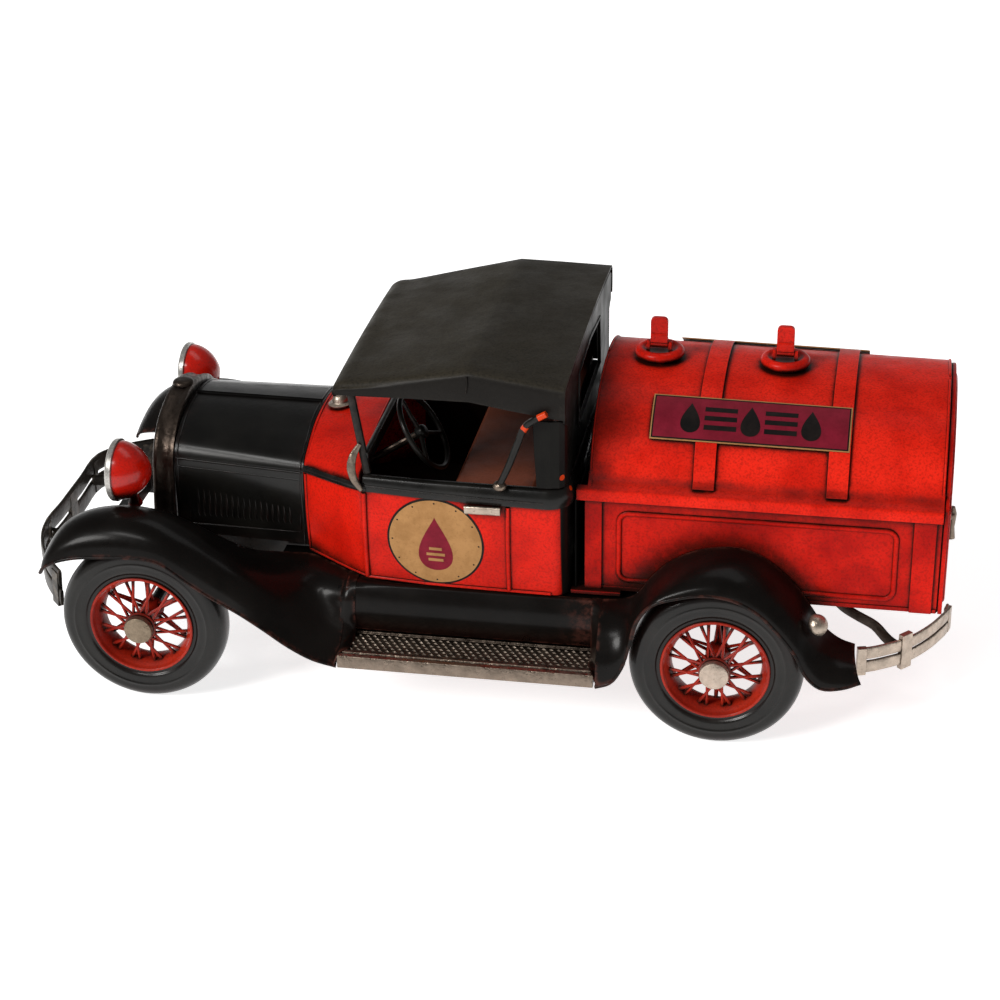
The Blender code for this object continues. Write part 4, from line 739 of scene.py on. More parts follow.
# dark sheets inside the cab standing in for the shade over its red walls, floor and dash
shade_walls = []
for k in range(9):
    s = k / 8
    z0, z1 = CAB_Z0 + 1.3, CAB_Z1 - 0.1
    shade_walls.append([(x, y, z0 + (belt_z(x) - 0.1 - z0) * s) for x, y in cab_plan(z0 + (z1 - z0) * s, 0.98)])
deck = [(x, y * 0.995) for x, y in cab_plan(CAB_Z0 + 1.3, 1.0) if x > -46.0]
shade_walls_bits = [skin(shade_walls), ([(x, y, CAB_Z0 + 1.25) for x, y in deck], [tuple(range(len(deck)))]),
              ([(-45.15, y, z) for y, z in ((-30.8, 48.1), (30.8, 48.1), (32.4, 78.0), (-32.4, 78.0))], [(0, 1, 2, 3)])]
dash_face = [(y * 0.995, z) for y, z in dash_outline]
shade_walls_bits.append(([(COWL_X[1] + 0.05, y, z) for y, z in dash_face], [tuple(range(len(dash_face)))]))
piece("cab_interior_shade", gather(*shade_walls_bits), interior_shade, angle=60)


def belt_section(x, y, nx, ny, w_in, w_out, z0, z1):
    prof = [(-w_in, z0, 0), (w_out * 0.8, z0, 0), (w_out, z0 + (z1 - z0) * 0.35, 0), (w_out * 0.7, z0 + (z1 - z0) * 0.75, 0),
            (w_out * 0.1, z1, 0), (-w_in * 0.7, z1, 0), (-w_in, z0 + (z1 - z0) * 0.8, 0)]
    out = [prof[0]] + [tuple(p) for p in spline(prof[1:], 3)]
    return [(x + nx * a, y + ny * a, z) for a, z, _ in out]


belt_path = [p for p in cab_plan(CAB_Z1, 0.0, 7.0, -47.0, CAB_BACK_X, 10) if p[0] > -21.6]
rows = []
for i, (x, y) in enumerate(belt_path):
    a, b = belt_path[max(i - 1, 0)], belt_path[min(i + 1, len(belt_path) - 1)]
    tx, ty = b[0] - a[0], b[1] - a[1]
    ln = math.hypot(tx, ty)
    rise = lerp([(-21.0, 5.2), (0.0, 5.6), (49.0, 6.6)], x)
    out = lerp([(-21.0, 1.0), (49.0, 1.8)], x) if abs(y) > 30 else 0.6
    rows.append(belt_section(x, y, ty / ln, -tx / ln, 3.6, out, CAB_Z1 + GAP, CAB_Z1 + GAP + rise))
bits = [loft(rows)]
for s in (-1, 1):
    srows = []
    for x in (-46.8, -43.0, -40.0, -37.0, -34.0, -31.0, -28.0, -24.0, -20.4):
        h, z = cab_half(x, CAB_Z1), belt_z(x) + GAP
        srows.append([(x, s * (h + 0.15), z), (x, s * (h + 1.0), z), (x, s * (h + 1.25), z + 0.5), (x, s * (h + 1.2), z + 1.4),
                      (x, s * (h + 0.8), z + 2.0), (x, s * (h + 0.15), z + 2.4)])
    bits.append(loft(srows))
    line = []
    for x in (-20.6, -10.0, 0.0, 10.0, 20.0, 32.0, 41.0):
        line.append((x, s * (cab_half(x, CAB_Z1) + lerp([(-21.0, 0.9), (49.0, 1.6)], x)), CAB_Z1 + 2.6))
    bits.append(tube(line, 0.42, 8))
piece("fine_belt_rail", gather(*bits), black_belt, nodes=["belt_rail"], angle=50)

# ---------------------------------------------------------------- windshield
POST_TOP, POST_LOW = (-26.2, 45.4, 116.6), (-20.4, 49.0, 87.4)
ws = []
for s in (-1, 1):
    ws.append(bar([(POST_LOW[0], s * POST_LOW[1], POST_LOW[2]), (POST_TOP[0], s * POST_TOP[1], POST_TOP[2])], 1.35, 1.15, (1, 0, 0), 12))
ws.append(bar([(-20.9, -49.0, 93.6), (-20.9, 49.0, 93.6)], 1.0, 1.2, (1, 0, 0), 12))
ws.append(bar([(-26.0, -45.8, 115.6), (-26.0, 45.8, 115.6)], 1.0, 1.0, (1, 0, 0), 12))
piece("fine_windshield_frame", gather(*ws), black, nodes=["windshield_frame"], angle=60)
path = spline([(-22.6, -49.3, 98.0), (-24.7, -50.6, 94.1), (-25.3, -51.7, 90.4), (-24.2, -52.8, 86.4), (-21.4, -53.9, 83.0)], 5)
wide = [p.x for p in spline([(0.75, 0, 0), (1.3, 0, 0), (1.55, 0, 0), (1.35, 0, 0), (0.85, 0, 0)], 5)]
stay = bar(path, 0.6, wide, (0, 1, 0), 12)
piece("windshield_stay_left", stay, pewter, angle=60)
piece("windshield_stay_right", flip(stay), pewter, angle=60)

# ---------------------------------------------------------------- soft-top roof and back panel
ROOF = [(-31.4, 46.8, 115.2, 116.0, 114.7), (-31.8, 47.6, 117.0, 118.0, 114.9), (-29.8, 48.2, 118.8, 119.9, 115.0),
        (-24.0, 48.7, 119.9, 121.0, 115.3), (-8.0, 50.6, 123.3, 124.4, 116.4), (15.8, 53.0, 128.4, 129.2, 117.6),
        (30.0, 54.9, 127.4, 128.6, 116.2), (48.4, 57.2, 126.0, 127.8, 114.8)]


def roof_row(x, half, ze, zc, zv):
    drop = ze - zv
    edge = [(half, zv), (half + 0.35, zv + drop * 0.25), (half + 0.3, zv + drop * 0.6), (half - 0.25, ze - 1.5),
            (half - 1.1, ze - 0.55), (half - 2.8, ze + 0.05)]
    edge = fine_half(edge, 3)
    top = [(half * 0.66, ze + (zc - ze) * 0.55), (half * 0.33, ze + (zc - ze) * 0.9), (0.0, zc)]
    last = edge[-1]
    inner = [(last[0] + (half * 0.66 - last[0]) * k / 4, last[1] + (top[0][1] - last[1]) * k / 4) for k in (1, 2, 3)]
    pts = edge + inner
    for a, b in zip(top, top[1:]):
        pts += [(a[0] + (b[0] - a[0]) * k / 5, a[1] + (b[1] - a[1]) * k / 5) for k in range(5)]
    pts.append(top[-1])
    out = []
    for y, z in pts:
        # slack in the cloth-like tin: a shallow dip either side of the middle bow
        dip = 0.35 * math.exp(-((x - 8.0) / 9.0) ** 2) * math.cos(y / 11.0) + 0.3 * math.exp(-((x + 14.0) / 7.0) ** 2) * math.sin(y / 9.0 + 1)
        out.append((y, z - (dip if y < half - 4 else 0.0)))
    return full(out, x)


front_rows_r = spline([(r[0], r[1], r[2]) for r in ROOF[:6]], 5)
front_more = spline([(r[0], r[3], r[4]) for r in ROOF[:6]], 5)
roof_rows = [roof_row(p.x, p.y, p.z, q.y, q.z) for p, q in zip(front_rows_r, front_more)]
for a, b in zip(ROOF[5:], ROOF[6:]):
    for k in range(1, 5):
        roof_rows.append(roof_row(*[p + (q - p) * k / 4 for p, q in zip(a, b)]))
bits = [sheet(roof_rows, SHEET, 1.0)]
for s in (-1, 1):
    bits.append(tube([(15.2, s * 53.3, 127.0), (15.3, s * 53.45, 124.0), (15.0, s * 53.5, 121.0)], [0.2, 0.42, 0.2], 8))
piece("fine_cab_roof", gather(*bits), black_top, nodes=["cab_roof"], angle=42)

def window_ring(grow, x):
    pts = [(-26.0, 100.0), (-24.0, 117.8), (0.0, 119.6), (24.0, 117.8), (26.0, 100.0)]
    c = (0.0, 109.0)
    out = []
    dense = []
    for i, p in enumerate(pts):
        q = pts[(i + 1) % len(pts)]
        for k in range(6):
            dense.append((p[0] + (q[0] - p[0]) * k / 6, p[1] + (q[1] - p[1]) * k / 6))
    for y, z in dense:
        d = math.hypot(y - c[0], z - c[1])
        out.append((x, y + (y - c[0]) / d * grow, z + (z - c[1]) / d * grow))
    return out


bits = [loft([window_ring(0.0, 48.6), window_ring(1.4, 48.6), window_ring(1.7, 48.0), window_ring(0.0, 48.0)], loop=True)]
piece("window_surround", gather(*bits), black_back, angle=50)

header = [(-55.8, 121.0), (-55.8, 124.2), (-54.4, 125.4), (-37.8, 126.4), (-18.9, 127.0), (0.0, 127.2), (18.9, 127.0), (37.8, 126.4),
          (54.4, 125.4), (55.8, 124.2), (55.8, 121.0), (33.0, 123.9), (0.0, 124.8), (-33.0, 123.9)]
piece("back_header", plate(header, lambda u, w, a: (a, u, w), 46.6, 47.8), black_back, angle=40)

# landau irons
for s, side in ((-1, "left"), (1, "right")):
    path = spline([(26.2, -56.2, 89.6), (29.4, -57.1, 97.0), (32.4, -57.0, 105.0), (35.6, -57.3, 112.4), (38.6, -58.2, 115.2),
                   (42.4, -58.4, 117.6)], 5)
    iron = tube(path, [1.25 - 0.25 * abs(k / (len(path) - 1) - 0.4) for k in range(len(path))], 14)
    ball = revolve(soft([(0, -0.7), (2.0, -0.65), (2.35, 0.35), (1.8, 1.5), (0, 2.2)], 4), 28, (26.2, -56.0, 88.9), (0, 0, 1))
    piece(f"fine_top_iron_{side}", iron if s < 0 else flip(iron), black_iron, nodes=[f"top_iron_{side}"], angle=60)
    piece(f"top_iron_ball_{side}", ball if s < 0 else flip(ball), pewter, angle=60)

# ---------------------------------------------------------------- interior
SW_C = Vector((-5.8, -25.0, 92.8))
SW_AXIS = Vector((0.84, 0.0, 0.5426)).normalized()
SW_R = 14.0
ring = revolve([(SW_R + 0.98 * math.cos(a), 0.98 * math.sin(a)) for a in (2 * math.pi * k / 16 for k in range(16))], 72, SW_C, SW_AXIS)
hub = revolve(soft([(0, -2.6), (2.2, -2.5), (2.5, -1.0), (2.4, 0.4), (1.4, 1.0), (0, 1.1)], 3), 28, SW_C, SW_AXIS)
arms = []
side_v = Vector((0, 1, 0))
up_v = SW_AXIS.cross(side_v)
for k in range(3):
    a = math.radians(90 + 120 * k)
    d = side_v * math.cos(a) + up_v * math.sin(a)
    arms.append(tube([SW_C + d * 1.5 - SW_AXIS * 1.2, SW_C + d * 7.5 - SW_AXIS * 0.8, SW_C + d * (SW_R - 0.2)], [0.95, 0.75, 0.65], 10))
piece("fine_steering_wheel", gather(ring, hub, *arms), black, "steering", ["steering_wheel"], 60)


# ---------------------------------------------------------------- tank and bed
def tank_rise(x):
    return TANK_RISE[0] + (TANK_RISE[1] - TANK_RISE[0]) * (x - TANK_X[0]) / (TANK_X[1] - TANK_X[0])


def tank_half(x, grow=0.0, segs=9, foot=True):
    pts = []
    if foot:
        pts += [(RAIL_Y, RAIL_Z[0]), (RAIL_Y + 0.12, RAIL_Z[0] + 0.8), (RAIL_Y + 0.12, RAIL_Z[1] - 0.8), (RAIL_Y - 0.2, RAIL_Z[1] - 0.1),
                (RAIL_Y - 0.9, RAIL_Z[1] + 0.1), (46.6, RAIL_Z[1] + 0.6), (45.2, RAIL_Z[1] + 1.4), (44.3, RAIL_Z[1] + 2.6)]
    a0 = math.radians(9.0 if not foot else 12.0)
    for k in range(segs + 1):
        a = a0 + (math.pi / 2 - a0) * k / segs
        c, s = math.cos(a), math.sin(a)
        pts.append(((TANK_HALF + grow) * max(c, 0.0) ** (2 / TANK_N) if k < segs else 0.0,
                    TANK_ZC + (tank_rise(x) + grow) * s ** (2 / TANK_N)))
    return pts


rows = [full(tank_half(TANK_X[0] + (TANK_X[1] - TANK_X[0]) * k / 10, 0.0, 40), TANK_X[0] + (TANK_X[1] - TANK_X[0]) * k / 10) for k in range(11)]
end_half = [(RAIL_Y - 0.5, RAIL_Z[0]), (RAIL_Y - 0.5, RAIL_Z[1] - 0.5)] + tank_half(TANK_X[0], -0.5, 30, foot=False)
end_ring = [(-y, z) for y, z in end_half] + [(y, z) for y, z in reversed(end_half[:-1])]
bits = [sheet(rows, SHEET, 1.0), plate(end_ring, lambda u, w, a: (a, u, w), TANK_X[0], TANK_X[0] + 1.2)]
for x in (TANK_X[0] + 0.5, TANK_X[1] - 0.5):
    bits.append(tube(full(tank_half(x, 0.0, 36, foot=False), x), 0.45, 8))
for s in (-1, 1):
    tip = [(46.0, 82.6), (RAIL_Y, 82.4), (RAIL_Y + 0.12, 85.6), (RAIL_Y - 0.2, 86.3), (RAIL_Y - 0.9, 86.5), (46.6, 87.0), (46.0, 86.6)]
    bits.append(plate([(s * y, z) for y, z in tip], lambda u, w, a: (a, u, w), 50.9, TANK_X[0] + 0.05))
piece("fine_tank_shell", gather(*bits), red_tank, nodes=["tank_shell"], angle=50)

for label, (xa, xb) in zip(("front", "rear"), STRAPS):
    rows = [full([(46.9, 88.2), (45.9, 88.9)] + tank_half(x, 1.15, 36, foot=False), x) for x in (xa, (xa + xb) / 2, xb)]
    piece(f"fine_tank_strap_{label}", sheet(rows, 0.8, 1.0), red_tank, nodes=[f"tank_strap_{label}"], angle=40, bevel=0.2)

for label, x in zip(("front", "rear"), FILLERS):
    z0 = TANK_ZC + tank_rise(x - 8.0) + GAP
    cap = revolve(soft([(0, 0), (7.4, 0.0), (8.35, 0.7), (8.5, 1.6), (8.1, 2.6), (7.0, 3.3), (6.1, 3.3), (5.2, 2.7), (0, 2.6)], 3), 56,
                  (x, 0, z0), (0, 0, 1))
    hy, hz = -2.2, z0 + 5.2
    ears = [loft([[(xx, hy + dy, zz) for dy, zz in ((-1.3, z0 + 2.0), (1.3, z0 + 2.0), (1.25, hz + 0.5), (0.7, hz + 1.15), (-0.7, hz + 1.15),
                                                    (-1.25, hz + 0.5))] for xx in (x + s * 3.75 - 0.55, x + s * 3.75 + 0.55)])
            for s in (-1, 1)]
    pin = rod((x - 4.5, hy, hz), (x + 4.5, hy, hz), 0.7, None, 20)
    piece(f"fine_filler_cap_{label}", gather(cap, pin, *ears), red, nodes=[f"filler_cap_{label}"], angle=40)
    prof = [(-2.95, -1.1), (-2.95, 8.3)]
    prof += [(-1.35 - 1.6 * math.cos(math.radians(18 * k)), 8.3 + 1.5 * math.sin(math.radians(18 * k))) for k in range(1, 6)]
    prof += [(1.35 + 1.6 * math.sin(math.radians(18 * k)), 8.3 + 1.5 * math.cos(math.radians(18 * k))) for k in range(6)]
    prof += [(2.95, -1.1)]
    lever = plate(prof, lambda u, w, a: (x + u, hy + a, hz + w), -1.1, 0.7)
    foot = rod((x - 2.95, hy, hz), (x + 2.95, hy, hz), 1.45, None, 24)
    rivet = revolve(soft([(0, -0.3), (0.8, -0.3), (0.7, 0.1), (0, 0.35)], 3), 16, (x, hy - 1.1, hz + 2.9), (0, -1, 0))
    tabs = loft([[(xx, hy - 1.1 + dy, hz + zz) for dy, zz in ((0.0, 0.6), (-0.6, 0.9), (-0.6, 3.6), (0.0, 4.2))] for xx in (x - 2.9, x + 2.9)])
    piece(f"fine_filler_lever_{label}", gather(lever, foot, rivet, tabs), red, f"lever_{label}", [f"filler_lever_{label}"], angle=40,
          bevel=0.22)


def bead(xa, xb, za, zb, r, width, y_in, y_out):
    def ring(inset, y):
        out = []
        for cx, cz, a0 in ((xb - r, zb - r, 0), (xa + r, zb - r, 90), (xa + r, za + r, 180), (xb - r, za + r, 270)):
            for k in range(9):
                a = math.radians(a0 + 11.25 * k)
                out.append((cx + (r - inset) * math.cos(a), y, cz + (r - inset) * math.sin(a)))
        return out
    steps = []
    for k in range(9):
        a = math.pi * k / 8
        steps.append(ring(width / 2 - width / 2 * math.cos(a), y_in + (y_out - y_in) * math.sin(a) ** 0.8))
    return loft(steps, loop=True)


prof = [(-BED_HALF, BED_Z[1]), (-BED_HALF, BED_Z[0]), (BED_HALF, BED_Z[0]), (BED_HALF, BED_Z[1]), (BED_HALF - 1.0, BED_Z[1]),
        (BED_HALF - 1.0, BED_Z[0] + 1.0), (-BED_HALF + 1.0, BED_Z[0] + 1.0), (-BED_HALF + 1.0, BED_Z[1])]
bits = [plate(prof, lambda u, w, a: (a, u, w), *BED_X),
        box(BED_X[0], BED_X[0] + 1.0, -BED_HALF + 0.5, BED_HALF - 0.5, BED_Z[0] + 0.5, BED_Z[1]),
        box(48.9, 66.0, -49.4, 49.4, 46.9, 48.3)]
for s in (-1, 1):
    for xa, xb in ((BED_X[0], 59.3), (162.4, 169.8)):
        ya, yb = sorted((s * (BED_HALF - 0.5), s * (BED_HALF + 0.9)))
        bits.append(box(xa, xb, ya, yb, BED_Z[0], BED_Z[1]))
    bits.append(bead(64.0, 158.0, 51.0, 78.4, 4.4, 2.0, s * (BED_HALF - 0.3), s * (BED_HALF + 0.75)))
    ya, yb = sorted((s * (BED_HALF - 0.2), s * (BED_HALF + 0.35)))
    bits.append(box(BED_X[0] + 0.3, BED_X[1] - 0.3, ya, yb, BED_Z[0], BED_Z[0] + 1.6))
piece("fine_bed_box", gather(*bits), red_bed, nodes=["bed_box"], angle=40, bevel=0.25)

end_half = [(43.2, 82.6)] + tank_half(TANK_X[1], -1.0, 30, foot=False)
end_gasket = [(-y, z) for y, z in end_half] + [(y, z) for y, z in reversed(end_half[:-1])]
# dark fill for the seams at the bed's ends; the sheet at x 50.2 to 50.7 stands in for the shade in the gap between cab
# and bed
piece("bed_seams_and_shade_fill", gather(box(BED_X[1] - 0.6, PANEL_X[0] - 0.03, -BED_HALF + 0.35, BED_HALF - 0.35, BED_Z[0] + 0.4, 84.0),
                               box(50.2, 50.7, -47.5, 47.5, 46.4, 81.6), plate(end_gasket, lambda u, w, a: (a, u, w), TANK_X[1] - 0.6,
                                                                               PANEL_X[0] - 0.03)), seam_and_shade_black, angle=40)
half = [(BED_HALF + 0.4, BED_Z[0]), (BED_HALF + 0.4, 86.0)] + tank_half(TANK_X[1], -0.8, 30, foot=False)
ring = [(-y, z) for y, z in half] + [(y, z) for y, z in reversed(half[:-1])]


def panel_loop(inset, x):
    h = [(BED_HALF - 2.4 - inset, BED_Z[0] + 3.0 + inset), (BED_HALF - 2.4 - inset, 84.0)]
    h += tank_half(TANK_X[1], -4.2 - inset, 26, foot=False)
    return closed(h, x)


rim = [panel_loop(1.0 - 1.0 * math.cos(math.pi * k / 6), PANEL_X[1] - 0.3 + 1.0 * math.sin(math.pi * k / 6)) for k in range(7)]
piece("fine_rear_panel", gather(plate(ring, lambda u, w, a: (a, u, w), *PANEL_X), loft(rim, loop=True)), red_bed, nodes=["rear_panel"],
      angle=40, bevel=0.2)

tap_x = PANEL_X[1] + GAP
tap = gather(revolve(soft([(0, 0), (3.8, 0.05), (3.9, 0.6), (3.2, 1.0), (0, 1.1)], 3), 32, (tap_x, 0, 61.4), (1, 0, 0)),
             rod((tap_x + 0.5, 0, 61.4), (tap_x + 2.6, 0, 61.4), 2.0, 1.8, 20),
             tube([(tap_x + 1.8, 0, 64.6), (tap_x + 1.9, 0, 62.0), (tap_x + 1.8, 0, 57.0), (tap_x + 1.8, 0, 52.6)], [0.9, 1.5, 1.15, 1.6], 16))
piece("fine_drain_tap", tap, pewter, nodes=["drain_tap"], angle=45)


# ---------------------------------------------------------------- fenders
def front_rows(n_in=3, n_out=3):
    st = [(-134.6, (43.0, 49.6), (55.0, 50.6), (65.6, 48.4)), (-133.2, (40.6, 52.4), (55.0, 55.6), (66.8, 50.6)),
          (-129.0, (37.8, 54.8), (55.5, 61.6), (67.8, 53.8)), (-122.0, (35.6, 56.2), (56.0, 66.4), (68.0, 56.2)),
          (-112.5, (34.0, 56.2), (56.0, 69.2), (68.0, 57.4)), (-102.0, (33.4, 54.6), (56.0, 69.8), (68.0, 58.0)),
          (-91.0, (32.8, 50.9), (56.0, 67.8), (68.0, 57.0)), (-81.5, (32.6, 48.0), (56.2, 63.4), (68.0, 50.6)),
          (-72.5, (32.6, 46.2), (56.6, 57.8), (68.3, 45.0)), (-63.5, (32.6, 45.6), (57.0, 52.4), (68.6, 40.2)),
          (-54.5, (32.6, 45.8), (57.2, 48.6), (68.8, 34.4)), (-46.0, (33.2, 46.2), (57.4, 47.0), (69.0, 28.6)),
          (-37.5, (38.4, 46.3), (57.4, 47.0), (69.2, 24.4)), (-29.4, (44.0, 46.3), (57.0, 47.0), (69.4, 22.6))]
    tail = [(44.0, 46.3), (50.6, 45.0), (54.2, 41.4), (55.6, 36.4), (57.6, 31.4), (62.4, 27.4), (69.4, 22.6)]
    rows = []
    for x, (yi, zi), (yc, zc), (yo, zo) in st:
        flat = []
        for k in range(n_in):
            s = k / n_in
            flat.append((yi + (yc - yi) * s, zi + (zc - zi) * (1 - (1 - s) ** 2)))
        for k in range(n_out + 1):
            a = math.pi / 2 * k / n_out
            flat.append((yc + (yo - yc) * math.sin(a), zc + (zo - zc) * (1 - math.cos(a))))
        m = min(max((x + 66.0) / 36.6, 0.0), 1.0)
        m = m * m * (3 - 2 * m)
        row = []
        for j, (y, z) in enumerate(flat):
            u = 1.0 - j / (len(flat) - 1)
            ty, tz = lerp([(i / (len(tail) - 1),) + p for i, p in enumerate(tail)], 1.0 - u)
            ty += (yi - tail[0][0]) * u + (yo - tail[-1][0]) * (1 - u)
            tz += (zi - tail[0][1]) * u + (zo - tail[-1][1]) * (1 - u)
            row.append((x, -(y + (ty - y) * m), z + (tz - z) * m))
        rows.append(row)
    return rows


REAR_ST = [((60.2, 46.4), (60.2, 22.6), 50.8, 69.6), ((65.6, 46.6), (65.0, 24.4), 50.2, 69.4), ((70.0, 47.4), (69.0, 30.4), 49.0, 69.0),
           ((72.6, 49.4), (71.4, 38.8), 48.0, 68.4), ((75.6, 53.8), (73.6, 48.0), 47.6, 68.0), ((81.4, 60.0), (78.6, 54.6), 47.6, 68.0),
           ((89.8, 65.2), (87.0, 58.0), 47.6, 68.0), ((97.8, 67.4), (96.4, 59.8), 47.6, 68.0), ((105.9, 67.8), (106.0, 58.6), 47.6, 68.0),
           ((112.6, 65.7), (113.6, 54.6), 47.6, 68.0), ((119.4, 60.8), (120.0, 48.4), 47.6, 68.0),
           ((126.2, 53.8), (126.6, 39.8), 47.6, 68.0), ((131.2, 46.6), (131.0, 31.4), 47.8, 68.0),
           ((136.0, 40.2), (135.2, 28.0), 48.6, 67.8), ((141.0, 37.2), (142.2, 28.2), 49.6, 67.2),
           ((145.6, 36.2), (148.4, 30.2), 50.4, 66.0)]


def rear_rows(n=6):
    rows = []
    for (xi, zi), (xo, zo), yi, yo in REAR_ST:
        row = []
        for k in range(n + 1):
            a = math.pi / 2 * k / n
            c = 1 - math.cos(a)
            row.append((xi + (xo - xi) * c, -(yi + (yo - yi) * math.sin(a)), zi + (zo - zi) * c))
        rows.append(row)
    return rows


fender = paint("fender_paint", (0.0035, 0.003, 0.0026), (0.0065, 0.0055, 0.0048), (0.014, 0.005, 0.0035), 0.8, 0.34, 0.16, 0.1, spec=0.05, worn=0.45, worn_color=(0.16, 0.05, 0.035),
               stain_and_shade_dist=0.01)
for name, rows in (("front_fender", finer(front_rows(), 4, 4)), ("rear_fender", finer(rear_rows(), 4, 3))):
    edge = [r[-1] - Vector((0, -0.35, 0.1)) for r in rows]
    body_s = gather(sheet(rows, SHEET, -1.0), tube(edge, 0.62, 8))
    piece(f"fine_{name}_left", body_s, fender, nodes=[f"{name}_left"], angle=60)
    piece(f"fine_{name}_right", flip(body_s), fender, nodes=[f"{name}_right"], angle=60)

apron_half = [(52.8, 44.8), (54.3, 41.0), (54.9, 36.6), (54.2, 32.2), (52.6, 28.4)]
grid = [[(x, -top, 46.3), (x, -0.25 * top - 39.4, 46.0)] + [(x, -y, z) for y, z in apron_half]
        for x, top in ((-28.8, 44.4), (-21.5, 48.6), (0.0, 50.4), (30.0, 50.7), (59.6, 51.0))]
apron = sheet(finer(grid, 2, 5), SHEET, -1.0)
piece("fine_splash_apron_left", apron, fender, nodes=["splash_apron_left"], angle=50)
piece("fine_splash_apron_right", flip(apron), fender, nodes=["splash_apron_right"], angle=50)

# dark sheets standing in for the shade under the body, behind the aprons and at their ends
shade_fill = [box(-28.6, 71.0, -50.2, -30.0, 45.2, 45.8), box(-57.0, -28.6, -47.0, -25.0, 43.9, 44.5), box(-28.6, 60.0, -50.9, -50.3, 23.6, 45.7)]
for x_in, x_out in ((-32.0, -26.6), (57.4, 62.6)):
    shade_fill.append(sheet([[(x, -y + 1.3, z - 0.1) for y, z in [(52.4, 44.6)] + apron_half[1:]] for x in (x_in, x_out)], 0.4, -1.0))
shade_fill = gather(*shade_fill)
# the fenders' feet lap over the ends of the apron and board
front_foot = [[(-30.6, -y, z - 0.35) for y, z in ((44.0, 46.2), (50.6, 44.9), (54.2, 41.3), (55.6, 36.3), (57.6, 31.3), (62.4, 27.3), (69.2, 22.9))],
              [(-28.6, -y, z) for y, z in ((44.2, 46.6), (51.2, 45.6), (55.0, 41.6), (56.0, 36.5), (57.2, 31.2), (61.4, 27.9), (68.6, 27.6))],
              [(-25.4, -y, z) for y, z in ((44.2, 46.5), (51.4, 46.2), (54.6, 41.8), (55.3, 36.7), (54.8, 31.8), (56.0, 27.5), (64.4, 27.2))]]
rear_foot = [[(60.9, -y, z - 0.4) for y, z in ((50.8, 46.3), (55.7, 45.5), (60.2, 43.0), (64.1, 39.2), (67.1, 34.3), (69.0, 28.6), (69.4, 23.4))],
             [(59.3, -y, z) for y, z in ((50.6, 46.4), (54.9, 45.3), (57.9, 42.2), (59.5, 37.6), (61.0, 32.6), (64.4, 28.6), (69.0, 27.5))],
             [(56.8, -y, z) for y, z in ((50.6, 46.4), (54.4, 44.6), (55.2, 41.2), (55.6, 36.8), (55.2, 32.0), (56.4, 27.6), (63.0, 27.1))]]
foot = gather(sheet(finer(front_foot, 3, 4), 0.5, -1.0), sheet(finer(rear_foot[::-1], 3, 4), 0.5, -1.0))
piece("fender_feet_left", foot, fender, angle=60)
piece("fender_feet_right", flip(foot), fender, angle=60)
piece("under_shade_fill_left", shade_fill, seam_and_shade_black, angle=40)
piece("under_shade_fill_right", flip(shade_fill), seam_and_shade_black, angle=40)

board_outline = [(-51.6, 23.0), (-51.6, 27.6), (-52.6, 27.6), (-53.0, 26.7), (-65.2, 26.7), (-65.6, 27.5), (-67.2, 27.5), (-67.6, 26.8),
                 (-68.0, 27.3), (-69.6, 27.0), (-70.2, 25.0), (-70.0, 22.5), (-68.8, 22.5), (-68.4, 23.0)]
base = plate(board_outline, lambda u, w, a: (a, u, w), -28.8, 59.6)
studs = []
for row in range(6):
    y = -54.3 - 1.9 * row
    for k in range(33):
        x = -26.6 + 2.58 * k + (1.29 if row % 2 else 0.0)
        if x > 57.4:
            continue
        d = Vector((1.0, -0.35 if row % 2 else -0.35, 0.0)).normalized() * 0.95
        c = Vector((x, y, 26.65))
        n = Vector((d.y, -d.x, 0)) * 0.42
        studs.append(([tuple(c - d), tuple(c + n), tuple(c + d), tuple(c - n), tuple(c + Vector((0, 0, 0.62)))],
                      [(0, 1, 4), (1, 2, 4), (2, 3, 4), (3, 0, 4), (3, 2, 1, 0)]))
for solid, side in ((lambda s: s, "left"), (flip, "right")):
    piece(f"fine_running_board_{side}", solid(base), pewter, nodes=[f"running_board_{side}"], angle=35, bevel=0.25)
    piece(f"running_board_tread_{side}", solid(gather(*studs)), silver, angle=20)

# ---------------------------------------------------------------- bumpers
bump_half = [(-131.8, -54.4), (-137.4, -48.6), (-142.2, -41.4), (-145.2, -33.4), (-145.8, -30.0), (-146.0, -10.0)]
plan = bump_half + [(x, -y) for x, y in reversed(bump_half)]
bits = []
for zc, droop in ((36.6, 4.0), (44.6, 4.0)):
    path = spline([(x, y, zc - droop * max(0.0, (abs(y) - 30.0) / 24.4)) for x, y in plan], 4)
    bits.append(bar(path, 3.4, 0.7, (0, 0, 1), 14))
for y, w in ((0.0, 3.6), (-25.6, 1.7), (25.6, 1.7)):
    bits.append(box(-146.7, -145.2, y - w, y + w, 34.4, 46.8))
for s in (-1, 1):
    bits.append(bar([(-135.8, s * 50.4, 39.2 - 3.3), (-132.6, s * 53.6, 39.2 - 3.8)], 7.0, 1.0, (0, 0, 1)))
    bits.append(bar([(-145.6, s * 22.0, 40.6), (-136.0, s * 22.0, 41.4), (-128.5, s * 22.0, 42.0)], 1.8, 1.0, (0, 0, 1)))
piece("fine_front_bumper", gather(*bits), bumper_black, nodes=["front_bumper"], angle=40, bevel=0.25)

